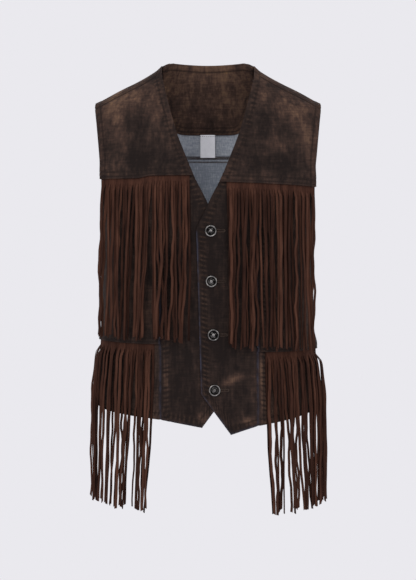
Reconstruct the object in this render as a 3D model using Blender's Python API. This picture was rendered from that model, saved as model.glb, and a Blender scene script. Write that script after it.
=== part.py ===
"""A fringed western gilet of coated denim, hollow and filled out as if worn.

Sizes are in millimetres and become metres where an object is made. +Z is up, the wearer faces -Y and
+X is the wearer's left. The origin lies between the shoulders, at the height of the middle of the
shoulder line. The cloth follows a general figure made of level rings, and every piece is a wall on it.
"""

import math
import random
from bisect import bisect_right
from collections import namedtuple

import bmesh
import bpy
from mathutils import Vector

MM = 0.001

# Cloth, leather and seams
CLOTH = 1.6
SUEDE = 1.2
FACING = 1.3
LABEL_CLOTH = 1.0
SEAM_GAP = 0.3
LAP_GAP = 0.9
LAP = 6.0
SHOULDER_SEAM_DROP = 11.0
SHOULDER_GAP = 0.8

# Neck, armhole and back
NECK_SIDE = 75.5
SHOULDER_TIP = 183.5
BACK_NECK = 49.4
BACK_NECK_CORNER = 0.26
BACK_NECK_DIP = 1.4
BACK_NECK_DIP_START = 0.26
NECK_EDGE_DROP = 0.1
BACK_YOKE_SEAM = -106.0
BACK_HEM = -503.0
SIDE_HEM = -513.0
FACING_REACH = 78.0
FACING_BOTTOM = -65.0
FACING_SIDE_DEPTH = 30.0
FACING_CURVE = 8.0
FACING_ROWS = 7
FACING_CROWD = 1.6
YOKE_WING = 10
YOKE_MIDDLE = 10
YOKE_BACK_ROWS = 10
YOKE_FRONT_ROWS = 3
YOKE_NECK_ROLL = -0.02
LABEL_WIDTH = 24.6
LABEL_LENGTH = 38.0
LABEL_CENTRE = -0.4

# Front closing
LAP_LIFT = CLOTH + 0.8
LAP_LIFT_REACH = 18.0
LAP_LIFT_FADE = 12.0
BUTTON_SIDES = 18

# Fringe
STRAND_PITCH = 4.3
STRAND_SLIT = 0.5
SLIT_SHIFT = 0.6
STRAND_STOPS = [0.06, 0.16, 0.30, 0.46, 0.64, 0.82, 1.0]
HEADER_TUCK = 5.0
HEADER_DEPTH = 9.0
LAYER_FIRST = 3.4
LAYER_STEP = 1.8
LAYERS = 2
LAYERS_SPARE = 6
LAYER_RUN = 0.06
STRAND_CLEARANCE = SUEDE + 0.45
STRANDS_NEAR = 13
LEAN_GROWTH = 1.4
OWN_LEAN = 6.0
OWN_BOW = 4.0
OWN_TWISTS = (12, 18, 25, 35, 60)
LENGTH_SPREAD = 4.5
TIP_SLANT = 1.6
FRONT_TURN = 0.65
FRONT_TURN_RUN = 0.4
MOST_TURN = math.radians(80)
ROOT_SAMPLES = 120
UPPER_LIFT_RISE = 52.0
UPPER_LIFT_RUN = 20.0
FRINGE_SEED = 41
# What a strand tries until it stands clear: how much of its own bends it keeps, how many layers it moves
# and how much of its turn to the front it keeps
STRAND_TRIES = [(keep, move, 1.0) for keep in (1.0, 0.6, 0.3, 0.1) for move in range(4)]
STRAND_TRIES += [(0.0, move, face) for face in (1.0, 0.7, 0.4, 0.0) for move in range(LAYERS_SPARE)]

# Level rings of the figure. Between underarm and shoulder they are wider than the cloth, which ends at
# the armhole there.
Ring = namedtuple("Ring", "height half_width front back squareness")
FIGURE = [
    Ring(-760, 181, 97, 93, 2.40),
    Ring(-520, 180, 98, 94, 2.40),
    Ring(-420, 174, 96, 89, 2.35),
    Ring(-330, 172, 96, 85, 2.30),
    Ring(-240, 173, 105, 92, 2.28),
    Ring(-222, 174, 107, 94, 2.25),
    Ring(-190, 196, 107, 97, 2.25),
    Ring(-150, 214, 104, 98, 2.22),
    Ring(-100, 225, 95, 96, 2.18),
    Ring(-60, 220, 84, 90, 2.12),
    Ring(-30, 200, 75, 83, 2.08),
    Ring(-21, 180.5, 72, 80, 2.06),
    Ring(0, 141.5, 66, 74, 2.04),
    Ring(11.5, 118.5, 62, 69, 2.02),
    Ring(23, 97.5, 59, 65, 2.00),
    Ring(34.6, 80.5, 57, 63, 2.00),
    Ring(42, 74, 56, 61, 2.00),
    Ring(60, 69, 55, 59, 2.00),
]

# Edges of the cut, as reach from the middle of the front at each height
Edge = namedtuple("Edge", "height reach")
NECKLINE = [
    Edge(-231, -18),
    Edge(-179, 6.6),
    Edge(-148, 22.3),
    Edge(-110, 38.0),
    Edge(-75, 51.2),
    Edge(-30, 63.8),
    Edge(0, 71.2),
    Edge(27, 75.6),
    Edge(46, NECK_SIDE),
]
ARMHOLE = [
    Edge(-240, 176),
    Edge(-222, 174.4),
    Edge(-160, 171),
    Edge(-110, 174.5),
    Edge(-60, 179.5),
    Edge(-21, SHOULDER_TIP),
    Edge(60, SHOULDER_TIP),
]

# The two fronts hang a little unevenly. Reaches are from the middle towards the front's own side.
Seam = namedtuple("Seam", "reach height")
Front = namedtuple(
    "Front",
    "side sign yoke_seam waist_inner waist_outer edge_corner point princess_top princess_hem upper_tips lower_tips",
)
FRONTS = [
    Front(
        side="right",
        sign=-1,
        yoke_seam=[Seam(0, -145), Seam(90, -145), Seam(114, -149), Seam(200, -148)],
        waist_inner=Seam(85, -414),
        waist_outer=-408,
        edge_corner=Seam(-37, -484),
        point=Seam(9.6, -547.6),
        princess_top=77.8,
        princess_hem=Seam(76, -535),
        upper_tips=(-409, -403),
        lower_tips=(-681, -665),
    ),
    Front(
        side="left",
        sign=1,
        yoke_seam=[Seam(0, -155), Seam(110, -158), Seam(200, -162)],
        waist_inner=Seam(90.6, -427),
        waist_outer=-423,
        edge_corner=Seam(-10.6, -494.5),
        point=Seam(36.5, -558.7),
        princess_top=77.8,
        princess_hem=Seam(80, -545),
        upper_tips=(-418, -427),
        lower_tips=(-687, -671),
    ),
]
FRINGE_START = 29.2

# Buttons on the closing line, from the neck down
Button = namedtuple("Button", "across height")
BUTTONS = [Button(4.3, -233), Button(5.4, -314), Button(8.6, -400), Button(10.6, -488.6)]
Turn = namedtuple("Turn", "radius height")
BUTTON_PROFILE = [
    Turn(8.6, 0.0),
    Turn(9.5, 0.9),
    Turn(9.2, 2.3),
    Turn(8.0, 3.0),
    Turn(6.7, 2.4),
    Turn(5.4, 1.7),
    Turn(3.2, 1.7),
    Turn(2.4, 2.7),
]
BUTTON_CROWN = 3.0

# Strands gather into locks: how many strands, how far their tips lean outwards, and how far they close up
Lock = namedtuple("Lock", "strands lean gather")
LOCKS = {
    "upper_right": [Lock(7, 1, 0.10), Lock(7, 3, 0.25), Lock(6, 9, 0.30), Lock(7, 7, 0.20), Lock(13, 7, 0.05)],
    "upper_left": [Lock(6, -1, 0.15), Lock(6, 0, 0.25), Lock(8, 4, 0.20), Lock(6, 3, 0.25), Lock(13, 2, 0.05)],
    "lower_right": [Lock(7, 8, 0.10), Lock(6, 9, 0.20), Lock(6, 8, 0.25), Lock(12, 3, 0.10)],
    "lower_left": [Lock(6, 6, 0.15), Lock(6, 8, 0.20), Lock(6, 9, 0.20), Lock(13, 2, 0.10)],
}

# Soft folds: where they lie on the front or back, half sizes across and along, slant and height
Fold = namedtuple("Fold", "face across height half_across half_along slant rise")
FOLDS = [
    Fold("front", 148, -84, 15, 58, 0.10, 2.6),
    Fold("front", 116, -96, 14, 50, 0.12, -2.2),
    Fold("front", -142, -96, 14, 50, -0.12, 2.2),
    Fold("front", -100, -70, 16, 60, -0.15, -2.0),
    Fold("front", 62, -515, 22, 20, 0.30, 2.0),
    Fold("front", -40, -512, 22, 22, -0.20, 1.8),
    Fold("back", 96, -190, 16, 90, 0.25, 3.0),
    Fold("back", -104, -205, 16, 85, -0.22, 3.2),
    Fold("back", 40, -330, 20, 70, 0.12, -3.0),
    Fold("back", -52, -345, 20, 64, -0.10, -2.6),
    Fold("back", 8, -420, 26, 60, 0.05, 2.6),
]

# Finishes
COATED_BROWN = ("coated_denim", (0.045, 0.028, 0.021, 1), 0.62, 0.0)
SUEDE_BROWN = ("suede", (0.048, 0.021, 0.014, 1), 0.9, 0.0)
LABEL_WHITE = ("label_cloth", (0.62, 0.62, 0.64, 1), 0.8, 0.0)
BUTTON_METAL = ("button_metal", (0.36, 0.35, 0.34, 1), 0.25, 1.0)


def blend(a, b, share):
    """The value that lies at a share of the way from a to b."""
    return a + (b - a) * share


def ease(share):
    """A soft step from 0 to 1."""
    t = min(max(share, 0.0), 1.0)
    return t * t * (3 - 2 * t)


def smooth_curve(places, values):
    """A curve through the values that never swings past them."""
    steps = [(values[i + 1] - values[i]) / (places[i + 1] - places[i]) for i in range(len(places) - 1)]
    slopes = [steps[0]]
    for before, after in zip(steps, steps[1:]):
        turns = before * after <= 0
        slopes.append(0.0 if turns else 2 * before * after / (before + after))
    slopes.append(steps[-1])

    def value(place):
        place = min(max(place, places[0]), places[-1])
        i = min(max(bisect_right(places, place) - 1, 0), len(places) - 2)
        width = places[i + 1] - places[i]
        t = (place - places[i]) / width
        start = values[i] * (1 + 2 * t) * (1 - t) ** 2 + slopes[i] * width * t * (1 - t) ** 2
        return start + values[i + 1] * t * t * (3 - 2 * t) - slopes[i + 1] * width * t * t * (1 - t)

    return value


def solve(inside, low, high):
    """The place between low and high where inside turns from true to false."""
    for _ in range(48):
        middle = (low + high) / 2
        if inside(middle):
            low = middle
        else:
            high = middle
    return (low + high) / 2


HEIGHTS = [ring.height for ring in FIGURE]
half_width = smooth_curve(HEIGHTS, [ring.half_width for ring in FIGURE])
front_depth = smooth_curve(HEIGHTS, [ring.front for ring in FIGURE])
back_depth = smooth_curve(HEIGHTS, [ring.back for ring in FIGURE])
squareness = smooth_curve(HEIGHTS, [ring.squareness for ring in FIGURE])
neck_reach = smooth_curve([edge.height for edge in NECKLINE], [edge.reach for edge in NECKLINE])
arm_reach = smooth_curve([edge.height for edge in ARMHOLE], [edge.reach for edge in ARMHOLE])


# The figure

def depth_at(x, z, depth):
    """How far the figure reaches forwards or backwards at x on the ring at height z."""
    power = squareness(z)
    rest = 1 - min(abs(x) / half_width(z), 1.0) ** power
    return depth(z) * rest ** (1 / power)


def front_at(x, z):
    """The point of the figure's front at x and height z."""
    return Vector((x, -depth_at(x, z, front_depth), z))


def back_at(x, z):
    """The point of the figure's back at x and height z."""
    return Vector((x, depth_at(x, z, back_depth), z))


def ring_at(turn, z):
    """The point of a ring at a turn in degrees: 0 in front, 90 at the wearer's left, 180 behind."""
    power = 2 / squareness(z)
    s, c = math.sin(math.radians(turn)), math.cos(math.radians(turn))
    x = math.copysign(half_width(z) * abs(s) ** power, s)
    depth = front_depth(z) if c > 0 else back_depth(z)
    return Vector((x, -math.copysign(depth * abs(c) ** power, c), z))


def turn_at(x, z):
    """The turn in degrees of the front point of a ring at x."""
    share = min(abs(x) / half_width(z), 1.0) ** (squareness(z) / 2)
    return math.copysign(math.degrees(math.asin(share)), x)


def level(point):
    """How far a point lies outside its ring, as a share of the ring's size."""
    power = squareness(point.z)
    depth = front_depth(point.z) if point.y < 0 else back_depth(point.z)
    across = (abs(point.x) / half_width(point.z)) ** power
    return (across + (abs(point.y) / depth) ** power) ** (1 / power) - 1


def slope(point):
    """The gradient of level at a point."""
    step = 0.05
    moves = [Vector((step, 0, 0)), Vector((0, step, 0)), Vector((0, 0, step))]
    return Vector([(level(point + m) - level(point - m)) / (2 * step) for m in moves])


def ridge(x):
    """The height of the shoulder line at x."""
    return solve(lambda z: half_width(z) > abs(x), -60.0, 60.0)


UNDERARM = solve(lambda z: half_width(z) <= arm_reach(z), -240.0, -195.0)


def fold_rise(point):
    """How far the soft folds lift the cloth at a point."""
    rise = 0.0
    for fold in FOLDS:
        if (fold.face == "front") == (point.y < 0):
            along = point.z - fold.height
            across = point.x - fold.across - fold.slant * along
            rise += fold.rise * math.exp(-((across / fold.half_across) ** 2) - (along / fold.half_along) ** 2)
    return rise


def off_cloth(point, offset):
    """A point of the figure moved out by the folds and by an offset."""
    return point + slope(point).normalized() * (offset + fold_rise(point))


# Making solids

def make_finish(name, colour, roughness, metallic):
    """A plain finish for a piece."""
    finish = bpy.data.materials.new(name)
    finish.use_nodes = True
    shader = finish.node_tree.nodes["Principled BSDF"]
    shader.inputs["Base Color"].default_value = colour
    shader.inputs["Roughness"].default_value = roughness
    shader.inputs["Metallic"].default_value = metallic
    finish.diffuse_color = colour
    return finish


def add_solid(name, points, faces, finish, parent):
    """One closed object from points in millimetres."""
    shape = bmesh.new()
    corners = [shape.verts.new(Vector(p) * MM) for p in points]
    for face in faces:
        shape.faces.new([corners[i] for i in face])
    bmesh.ops.recalc_face_normals(shape, faces=shape.faces)
    mesh = bpy.data.meshes.new(name)
    shape.to_mesh(mesh)
    shape.free()
    mesh.shade_smooth()
    mesh.set_sharp_from_angle(angle=math.radians(40))
    mesh.materials.append(finish)
    solid = bpy.data.objects.new(name, mesh)
    bpy.context.scene.collection.objects.link(solid)
    solid.parent = parent
    return solid


def grid_gap(grid, a, b):
    """The distance between two places of a grid."""
    return (grid[a[0]][a[1]] - grid[b[0]][b[1]]).length


def add_wall(name, outer, inner, finish, parent, filled=lambda row, column: True):
    """A wall between two grids of points, over the filled cells, closed along its edges."""
    rows, columns = len(outer) - 1, len(outer[0]) - 1
    points, faces, places = [], [], {}

    def corner(grid, row, column):
        key = (grid is outer, row, column)
        if key not in places:
            places[key] = len(points)
            points.append(grid[row][column])
        return places[key]

    def has(row, column):
        return 0 <= row < rows and 0 <= column < columns and filled(row, column)

    for row in range(rows):
        for column in range(columns):
            if not has(row, column):
                continue
            ring = [(row, column), (row, column + 1), (row + 1, column + 1), (row + 1, column)]
            beside = [(row - 1, column), (row, column + 1), (row + 1, column), (row, column - 1)]
            first, second = (grid_gap(outer, ring[k], ring[k + 2]) for k in (0, 1))
            turned = ring if first <= second else ring[1:] + ring[:1]
            for half in (turned[:3], turned[2:] + turned[:1]):
                faces.append([corner(outer, *place) for place in half])
                faces.append([corner(inner, *place) for place in reversed(half)])
            for side in range(4):
                if not has(*beside[side]):
                    a, b = ring[side], ring[(side + 1) % 4]
                    faces.append([corner(outer, *b), corner(outer, *a), corner(inner, *a), corner(inner, *b)])
    return add_solid(name, points, faces, finish, parent)


def patch(bottom, top, left, right, across, up):
    """A grid of flat points spread smoothly between four edges, each a function of a share."""
    corners = [[bottom(0), bottom(1)], [top(0), top(1)]]
    grid = []
    for v in up:
        line = []
        for u in across:
            point = []
            for axis in (0, 1):
                rails = blend(bottom(u)[axis], top(u)[axis], v) + blend(left(v)[axis], right(v)[axis], u)
                low = blend(corners[0][0][axis], corners[0][1][axis], u)
                high = blend(corners[1][0][axis], corners[1][1][axis], u)
                point.append(rails - blend(low, high, v))
            line.append(point)
        grid.append(line)
    return grid


def shares(count, *breaks):
    """Even shares from 0 to 1, with each break moved onto its nearest share."""
    values = [i / count for i in range(count + 1)]
    for place in breaks:
        nearest = min(range(1, count), key=lambda i: abs(values[i] - place))
        values[nearest] = place
    return values


def broken_line(*stops):
    """A line through stops, each a share and a flat point."""

    def point(share):
        for (start, a), (end, b) in zip(stops, stops[1:]):
            if share <= end:
                t = (share - start) / (end - start)
                return [blend(a[0], b[0], t), blend(a[1], b[1], t)]
        return list(stops[-1][1])

    return point


# Lapped edges: the share of a piece's height that lies raised, the share that comes down, and the lift
Lapped = namedtuple("Lapped", "flat fade lift")
YOKE_LAP = Lapped(0.06, 0.24, CLOTH + SEAM_GAP + SUEDE + LAP_GAP)
WAIST_LAP = Lapped(0.04, 0.12, CLOTH + SEAM_GAP + SUEDE + LAP_GAP)
BACK_LAP = Lapped(0.06, 0.24, CLOTH + LAP_GAP)


def lap_rise(share, lap):
    """The lift of a lapped piece at a share of its height above the lapped edge."""
    return lap.lift * (1 - ease((share - lap.flat) / lap.fade))


def lapped_rows(count, lap):
    """Shares of a piece's height, close together where its lapped edge comes down to the cloth."""
    low = [0.0] + [lap.flat + lap.fade * i / 3 for i in range(4)]
    return low + [blend(low[-1], 1.0, (i + 1) / count) for i in range(count)]


# The fronts

def yoke_height(front, reach):
    """The height of a front's yoke seam."""
    return smooth_curve([seam.reach for seam in front.yoke_seam], [seam.height for seam in front.yoke_seam])(reach)


def waist_height(front, turn):
    """The height of the seam that holds a front's lower fringe."""
    start = turn_at(front.waist_inner.reach, front.waist_inner.height)
    return blend(front.waist_inner.height, front.waist_outer, ease((turn - start) / (90 - start)))


def princess_reach(front, z):
    """How far a front's long seam lies from the middle."""
    share = (front.yoke_seam[0].height - z) / (front.yoke_seam[0].height - front.princess_hem.height)
    return blend(front.princess_top, front.princess_hem.reach, share)


def closing_edge(front, z):
    """How far a front reaches at its free edge, past the middle where it is negative."""
    neck_end = NECKLINE[0]
    if z >= neck_end.height:
        return neck_reach(z)
    share = (neck_end.height - z) / (neck_end.height - front.edge_corner.height)
    return blend(neck_end.reach, front.edge_corner.reach, min(share, 1.0))


def closing_lift(front, x, z):
    """How far the upper front lies out over the lower one."""
    if front.sign < 0:
        return 0.0
    under = -closing_edge(FRONTS[0], z)
    return LAP_LIFT * ease((under + LAP_LIFT_REACH - x) / LAP_LIFT_FADE)


def front_yoke(front, finish, parent):
    """The piece above a front's fringe, from the neckline to the armhole."""
    neck_top = ridge(NECK_SIDE) - SHOULDER_SEAM_DROP
    tip = ridge(SHOULDER_TIP) - SHOULDER_SEAM_DROP
    inner_foot = solve(lambda x: x < neck_reach(yoke_height(front, x)), 0.0, 60.0)
    outer_foot = arm_reach(yoke_height(front, SHOULDER_TIP))

    def bottom(u):
        x = blend(inner_foot, outer_foot, u)
        return x, yoke_height(front, x)

    def top(u):
        x = blend(neck_reach(neck_top), arm_reach(tip), u)
        return x, ridge(x) - SHOULDER_SEAM_DROP - SHOULDER_GAP / 2

    def left(v):
        z = blend(bottom(0)[1], top(0)[1], v)
        return neck_reach(z), z

    def right(v):
        z = blend(bottom(1)[1], top(1)[1], v)
        return arm_reach(z), z

    up = lapped_rows(7, YOKE_LAP)
    flat = patch(bottom, top, left, right, shares(YOKE_WING), up)
    base = [[front_at(front.sign * x, z) for x, z in line] for line in flat]
    rises = [lap_rise(v, YOKE_LAP) for v in up]
    outer = [[off_cloth(p, CLOTH + rise) for p in line] for line, rise in zip(base, rises)]
    inner = [[off_cloth(p, rise) for p in line] for line, rise in zip(base, rises)]
    add_wall(f"front_yoke_{front.side}", outer, inner, finish, parent)


def front_centre(front, finish, parent):
    """The piece between a front's free edge and its long seam, with the pointed hem."""
    corner, point, hem = front.edge_corner, front.point, front.princess_hem
    top_inner = solve(lambda x: x < neck_reach(yoke_height(front, x) + LAP), 0.0, 60.0)
    top_height = yoke_height(front, top_inner) + LAP
    neck_share = (NECKLINE[0].height - corner.height) / (top_height - corner.height)
    point_share = 0.5

    def top(u):
        x = blend(top_inner, front.princess_top - SEAM_GAP / 2, u)
        return x, yoke_height(front, x) + LAP

    def left(v):
        z = blend(corner.height, top_height, v)
        return closing_edge(front, z), z

    def right(v):
        z = blend(hem.height, top(1)[1], v)
        return princess_reach(front, z) - SEAM_GAP / 2, z

    bottom = broken_line((0.0, corner), (point_share, point), (1.0, right(0)))
    flat = patch(bottom, top, left, right, shares(8, point_share), shares(16, neck_share))
    base = [[front_at(front.sign * x, z) for x, z in line] for line in flat]
    lifts = [[closing_lift(front, p.x, p.z) for p in line] for line in base]
    outer = [[off_cloth(p, CLOTH + lift) for p, lift in zip(*pair)] for pair in zip(base, lifts)]
    inner = [[off_cloth(p, lift) for p, lift in zip(*pair)] for pair in zip(base, lifts)]
    add_wall(f"front_centre_{front.side}", outer, inner, finish, parent)


def side_turn(z, gap):
    """The turn of the side seam, kept a gap in front of the widest place of the ring."""
    share = (gap / front_depth(z)) ** (squareness(z) / 2)
    return math.degrees(math.acos(share))


def armhole_edge(top_height, gap):
    """An armhole's edge below a seam, as turns and heights of the front for shares down to the underarm."""

    def point(share):
        z = blend(top_height, UNDERARM, 1 - (1 - share) ** 2)
        return min(turn_at(arm_reach(z), z), side_turn(z, gap)), z

    return point


def ring_wall(name, flat, rises, finish, parent):
    """A wall over turns and heights, with a rise for each row."""
    base = [[ring_at(turn, z) for turn, z in line] for line in flat]
    outer = [[off_cloth(p, CLOTH + rise) for p in line] for line, rise in zip(base, rises)]
    inner = [[off_cloth(p, rise) for p in line] for line, rise in zip(base, rises)]
    add_wall(name, outer, inner, finish, parent)


def on_side(flat, sign):
    """Turns and heights of the wearer's left, moved to the side that the sign gives."""
    return [[(turn * sign, z) for turn, z in line] for line in flat]


def front_side(front, finish, parent):
    """The piece from the long seam to the side seam, between the yoke and the lower fringe."""
    half = SEAM_GAP / 2
    corner_share = 0.5
    arm_top = yoke_height(front, SHOULDER_TIP) + LAP
    armhole = armhole_edge(arm_top, half)

    def inner_turn(z):
        return turn_at(princess_reach(front, z) + half, z)

    def top(u):
        if u > corner_share:
            return armhole((u - corner_share) / (1 - corner_share))
        x = blend(front.princess_top + half, arm_reach(arm_top), u / corner_share)
        z = yoke_height(front, x) + LAP
        return turn_at(x, z), z

    def bottom(u):
        turn = blend(inner_turn(front.waist_inner.height), side_turn(front.waist_outer, half), u)
        return turn, waist_height(front, turn)

    def left(v):
        z = blend(bottom(0)[1], top(0)[1], v)
        return inner_turn(z), z

    def right(v):
        z = blend(bottom(1)[1], top(1)[1], v)
        return side_turn(z, half), z

    up = lapped_rows(8, WAIST_LAP)
    flat = on_side(patch(bottom, top, left, right, shares(12, corner_share), up), front.sign)
    ring_wall(f"front_side_{front.side}", flat, [lap_rise(v, WAIST_LAP) for v in up], finish, parent)


def front_skirt(front, finish, parent):
    """The piece below the lower fringe, from the long seam to the side seam."""
    half = SEAM_GAP / 2

    def inner_turn(z):
        return turn_at(princess_reach(front, z) + half, z)

    def top(u):
        turn = blend(inner_turn(front.waist_inner.height), side_turn(front.waist_outer, half), u)
        return turn, waist_height(front, turn) + LAP

    def bottom(u):
        z = blend(front.princess_hem.height, SIDE_HEM, u)
        return blend(inner_turn(z), side_turn(z, half), u), z

    def left(v):
        z = blend(bottom(0)[1], top(0)[1], v)
        return inner_turn(z), z

    def right(v):
        z = blend(bottom(1)[1], top(1)[1], v)
        return side_turn(z, half), z

    up = shares(5)
    flat = on_side(patch(bottom, top, left, right, shares(9), up), front.sign)
    ring_wall(f"front_skirt_{front.side}", flat, [0.0] * len(up), finish, parent)


# The back

def back_panel(finish, parent):
    """The back below the yoke, in one piece from side seam to side seam. Turns count from its middle."""
    half = SEAM_GAP / 2
    corners = (0.225, 0.775)
    arm_top = BACK_YOKE_SEAM + LAP
    armhole = armhole_edge(arm_top, half)

    def top(u):
        if corners[0] <= u <= corners[1]:
            x = arm_reach(arm_top) * (2 * (u - corners[0]) / (corners[1] - corners[0]) - 1)
            return turn_at(x, arm_top), arm_top
        turn, z = armhole((max(u, 1 - u) - corners[1]) / (1 - corners[1]))
        return math.copysign(turn, u - 0.5), z

    def bottom(u):
        z = blend(BACK_HEM, SIDE_HEM, ease(abs(2 * u - 1)))
        return (2 * u - 1) * side_turn(z, half), z

    def left(v):
        z = blend(SIDE_HEM, UNDERARM, v)
        return -side_turn(z, half), z

    def right(v):
        z = blend(SIDE_HEM, UNDERARM, v)
        return side_turn(z, half), z

    up = shares(14)
    flat = patch(bottom, top, left, right, shares(24, *corners), up)
    flat = [[(180 - turn, z) for turn, z in line] for line in flat]
    ring_wall("back", flat, [0.0] * len(up), finish, parent)


def back_neck_height(x):
    """The height of the back neck edge, which dips a little in the middle."""
    side = 1 - abs(x) / NECK_SIDE
    dip = BACK_NECK_DIP * ease((side - BACK_NECK_DIP_START) / (1 - BACK_NECK_DIP_START))
    rise = 1 - (1 - min(side / BACK_NECK_CORNER, 1.0)) ** 2
    return blend(ridge(NECK_SIDE) - NECK_EDGE_DROP, BACK_NECK, rise) - dip


def yoke_columns():
    """Columns of the back yoke from the right tip to the left: a side and a share, no side below the neck."""
    right = [(-1, 1 - i / YOKE_WING) for i in range(YOKE_WING + 1)]
    middle = [(0, 2 * (i + 1) / YOKE_MIDDLE - 1) for i in range(YOKE_MIDDLE - 1)]
    left = [(1, i / YOKE_WING) for i in range(YOKE_WING + 1)]
    return right + middle + left


def yoke_arch(sign, share, row):
    """A point of the back yoke on the arch over a shoulder, from the back seam to the front seam."""
    top = ridge(blend(NECK_SIDE, SHOULDER_TIP, share))
    drop = top - BACK_YOKE_SEAM
    front_end = math.sqrt((SHOULDER_SEAM_DROP - SHOULDER_GAP / 2) / drop)
    if row <= YOKE_BACK_ROWS:
        roll = blend(-1.0, YOKE_NECK_ROLL, row / YOKE_BACK_ROWS)
    else:
        roll = blend(YOKE_NECK_ROLL, front_end, (row - YOKE_BACK_ROWS) / YOKE_FRONT_ROWS)
    z = top - drop * roll * roll
    x = sign * min(blend(NECK_SIDE, arm_reach(z), share), half_width(z))
    return front_at(x, z) if roll > 0 else back_at(x, z)


def yoke_below_neck(share, row):
    """A point of the back yoke below the neck edge."""
    row = min(row, YOKE_BACK_ROWS)
    low, here, high = [yoke_arch(1, 0.0, r).z for r in (0, row, YOKE_BACK_ROWS)]
    x = share * NECK_SIDE
    return back_at(x, blend(BACK_YOKE_SEAM, back_neck_height(x), (here - low) / (high - low)))


def back_yoke(finish, parent):
    """The piece over both shoulders and across the back, cut out round the neck."""
    rows = range(YOKE_BACK_ROWS + YOKE_FRONT_ROWS + 1)
    columns = yoke_columns()
    base = []
    for row in rows:
        line = [yoke_arch(side, share, row) if side else yoke_below_neck(share, row) for side, share in columns]
        base.append(line)
    rises = [lap_rise(row / YOKE_BACK_ROWS, BACK_LAP) for row in rows]
    outer = [[off_cloth(p, CLOTH + rise) for p in line] for line, rise in zip(base, rises)]
    inner = [[off_cloth(p, rise) for p in line] for line, rise in zip(base, rises)]

    def filled(row, column):
        return row < YOKE_BACK_ROWS or not YOKE_WING <= column < YOKE_WING + YOKE_MIDDLE

    add_wall("back_yoke", outer, inner, finish, parent, filled)
    return inner


def facing_bottom(x):
    """The height of the neck facing's lower edge."""
    side_end = ridge(FACING_REACH) - FACING_SIDE_DEPTH
    return blend(FACING_BOTTOM, side_end, min(abs(x) / FACING_REACH, 1.0) ** FACING_CURVE)


def place_on_column(column, height):
    """The point of a column of points at a height."""
    for low, high in zip(column, column[1:]):
        if height <= high.z or high is column[-1]:
            return low.lerp(high, min((height - low.z) / (high.z - low.z), 1.0))
    return column[-1]


def neck_facing(yoke_inner, finish, parent):
    """The brown half-moon inside the back neck, made from the yoke's own columns."""
    base = [[] for _ in range(FACING_ROWS + 1)]
    for column in range(YOKE_WING, YOKE_WING + YOKE_MIDDLE + 1):
        points = [line[column] for line in yoke_inner[:YOKE_BACK_ROWS + 1]]
        top, bottom = points[-1].z, facing_bottom(points[-1].x)
        for row in range(FACING_ROWS + 1):
            height = blend(top, bottom, (row / FACING_ROWS) ** FACING_CROWD)
            base[row].append(place_on_column(points, height))
    outer = [[p - slope(p).normalized() * LAP_GAP for p in line] for line in base]
    inner = [[p - slope(p).normalized() * (LAP_GAP + FACING) for p in line] for line in base]
    add_wall("back_neck_facing", outer, inner, finish, parent)


def neck_label(finish, parent):
    """A plain label that hangs below the facing."""
    columns, rows = 4, 3
    base = []
    for row in range(rows + 1):
        line = []
        for column in range(columns + 1):
            x = LABEL_CENTRE + LABEL_WIDTH * (column / columns - 0.5)
            line.append(back_at(x, FACING_BOTTOM - SEAM_GAP - LABEL_LENGTH * row / rows))
        base.append(line)
    outer = [[off_cloth(p, -2 * SEAM_GAP) for p in line] for line in base]
    inner = [[off_cloth(p, -2 * SEAM_GAP - LABEL_CLOTH) for p in line] for line in base]
    add_wall("neck_label", outer, inner, finish, parent)


# Buttons

def add_button(number, button, finish, parent):
    """A turned metal button that stands on the upper front."""
    seat = front_at(button.across, button.height)
    out = slope(seat).normalized()
    lift = closing_lift(FRONTS[1], button.across, button.height) + CLOTH + SEAM_GAP
    points = [(0, 0, 0)]
    for turn in BUTTON_PROFILE:
        for side in range(BUTTON_SIDES):
            angle = 2 * math.pi * side / BUTTON_SIDES
            points.append((turn.radius * math.cos(angle), turn.radius * math.sin(angle), turn.height))
    points.append((0, 0, BUTTON_CROWN))
    faces = []
    last = len(points) - 1
    for side in range(BUTTON_SIDES):
        after = (side + 1) % BUTTON_SIDES
        faces.append([0, 1 + after, 1 + side])
        for ring in range(len(BUTTON_PROFILE) - 1):
            start = 1 + ring * BUTTON_SIDES
            end = start + BUTTON_SIDES
            faces.append([start + side, start + after, end + after, end + side])
        top = last - BUTTON_SIDES
        faces.append([top + side, top + after, last])
    solid = add_solid(f"button_{number}", points, faces, finish, parent)
    solid.location = off_cloth(seat, lift) * MM
    solid.rotation_mode = "QUATERNION"
    solid.rotation_quaternion = out.to_track_quat("Z", "Y")


# Fringe

def push_out(point, need):
    """A point moved level and outwards until it lies at least a distance from the figure."""
    for _ in range(4):
        gradient = slope(point)
        short = need - level(point) / gradient.length
        if short <= 0:
            break
        outwards = Vector((gradient.x, gradient.y, 0)).normalized()
        point = point + outwards * short
    return point


def strand_rows(root, along, out, half, length, layer, lean, bow, twist, front_turn, need):
    """The two edges of a strand, row by row, as it hangs from its root and turns towards the front."""
    rows = []
    point = root
    before = Vector()
    for share in STRAND_STOPS:
        sideways = lean * share ** LEAN_GROWTH + bow * math.sin(math.pi * share)
        place = along * sideways - Vector((0, 0, length * share))
        point = point + place - before
        before = place
        turn = twist * ease(share) + front_turn * ease(share / FRONT_TURN_RUN)
        turn = min(max(turn, -MOST_TURN), MOST_TURN)
        width = (along * math.cos(turn) + out * math.sin(turn)) * half
        layer_lift = layer * LAYER_STEP * ease(share / LAYER_RUN)
        point = push_out(point, need(point) + layer_lift + half * abs(math.sin(turn)))
        rows.append((point - width, point + width))
    return rows


def segment_gap(a, b, c, d):
    """The level distance between two short straight lines, from points along them."""
    steps = [i / 5 for i in range(6)]
    first = [a.lerp(b, t).xy for t in steps]
    second = [c.lerp(d, t).xy for t in steps]
    return min((p - q).length for p in first for q in second)


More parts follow.
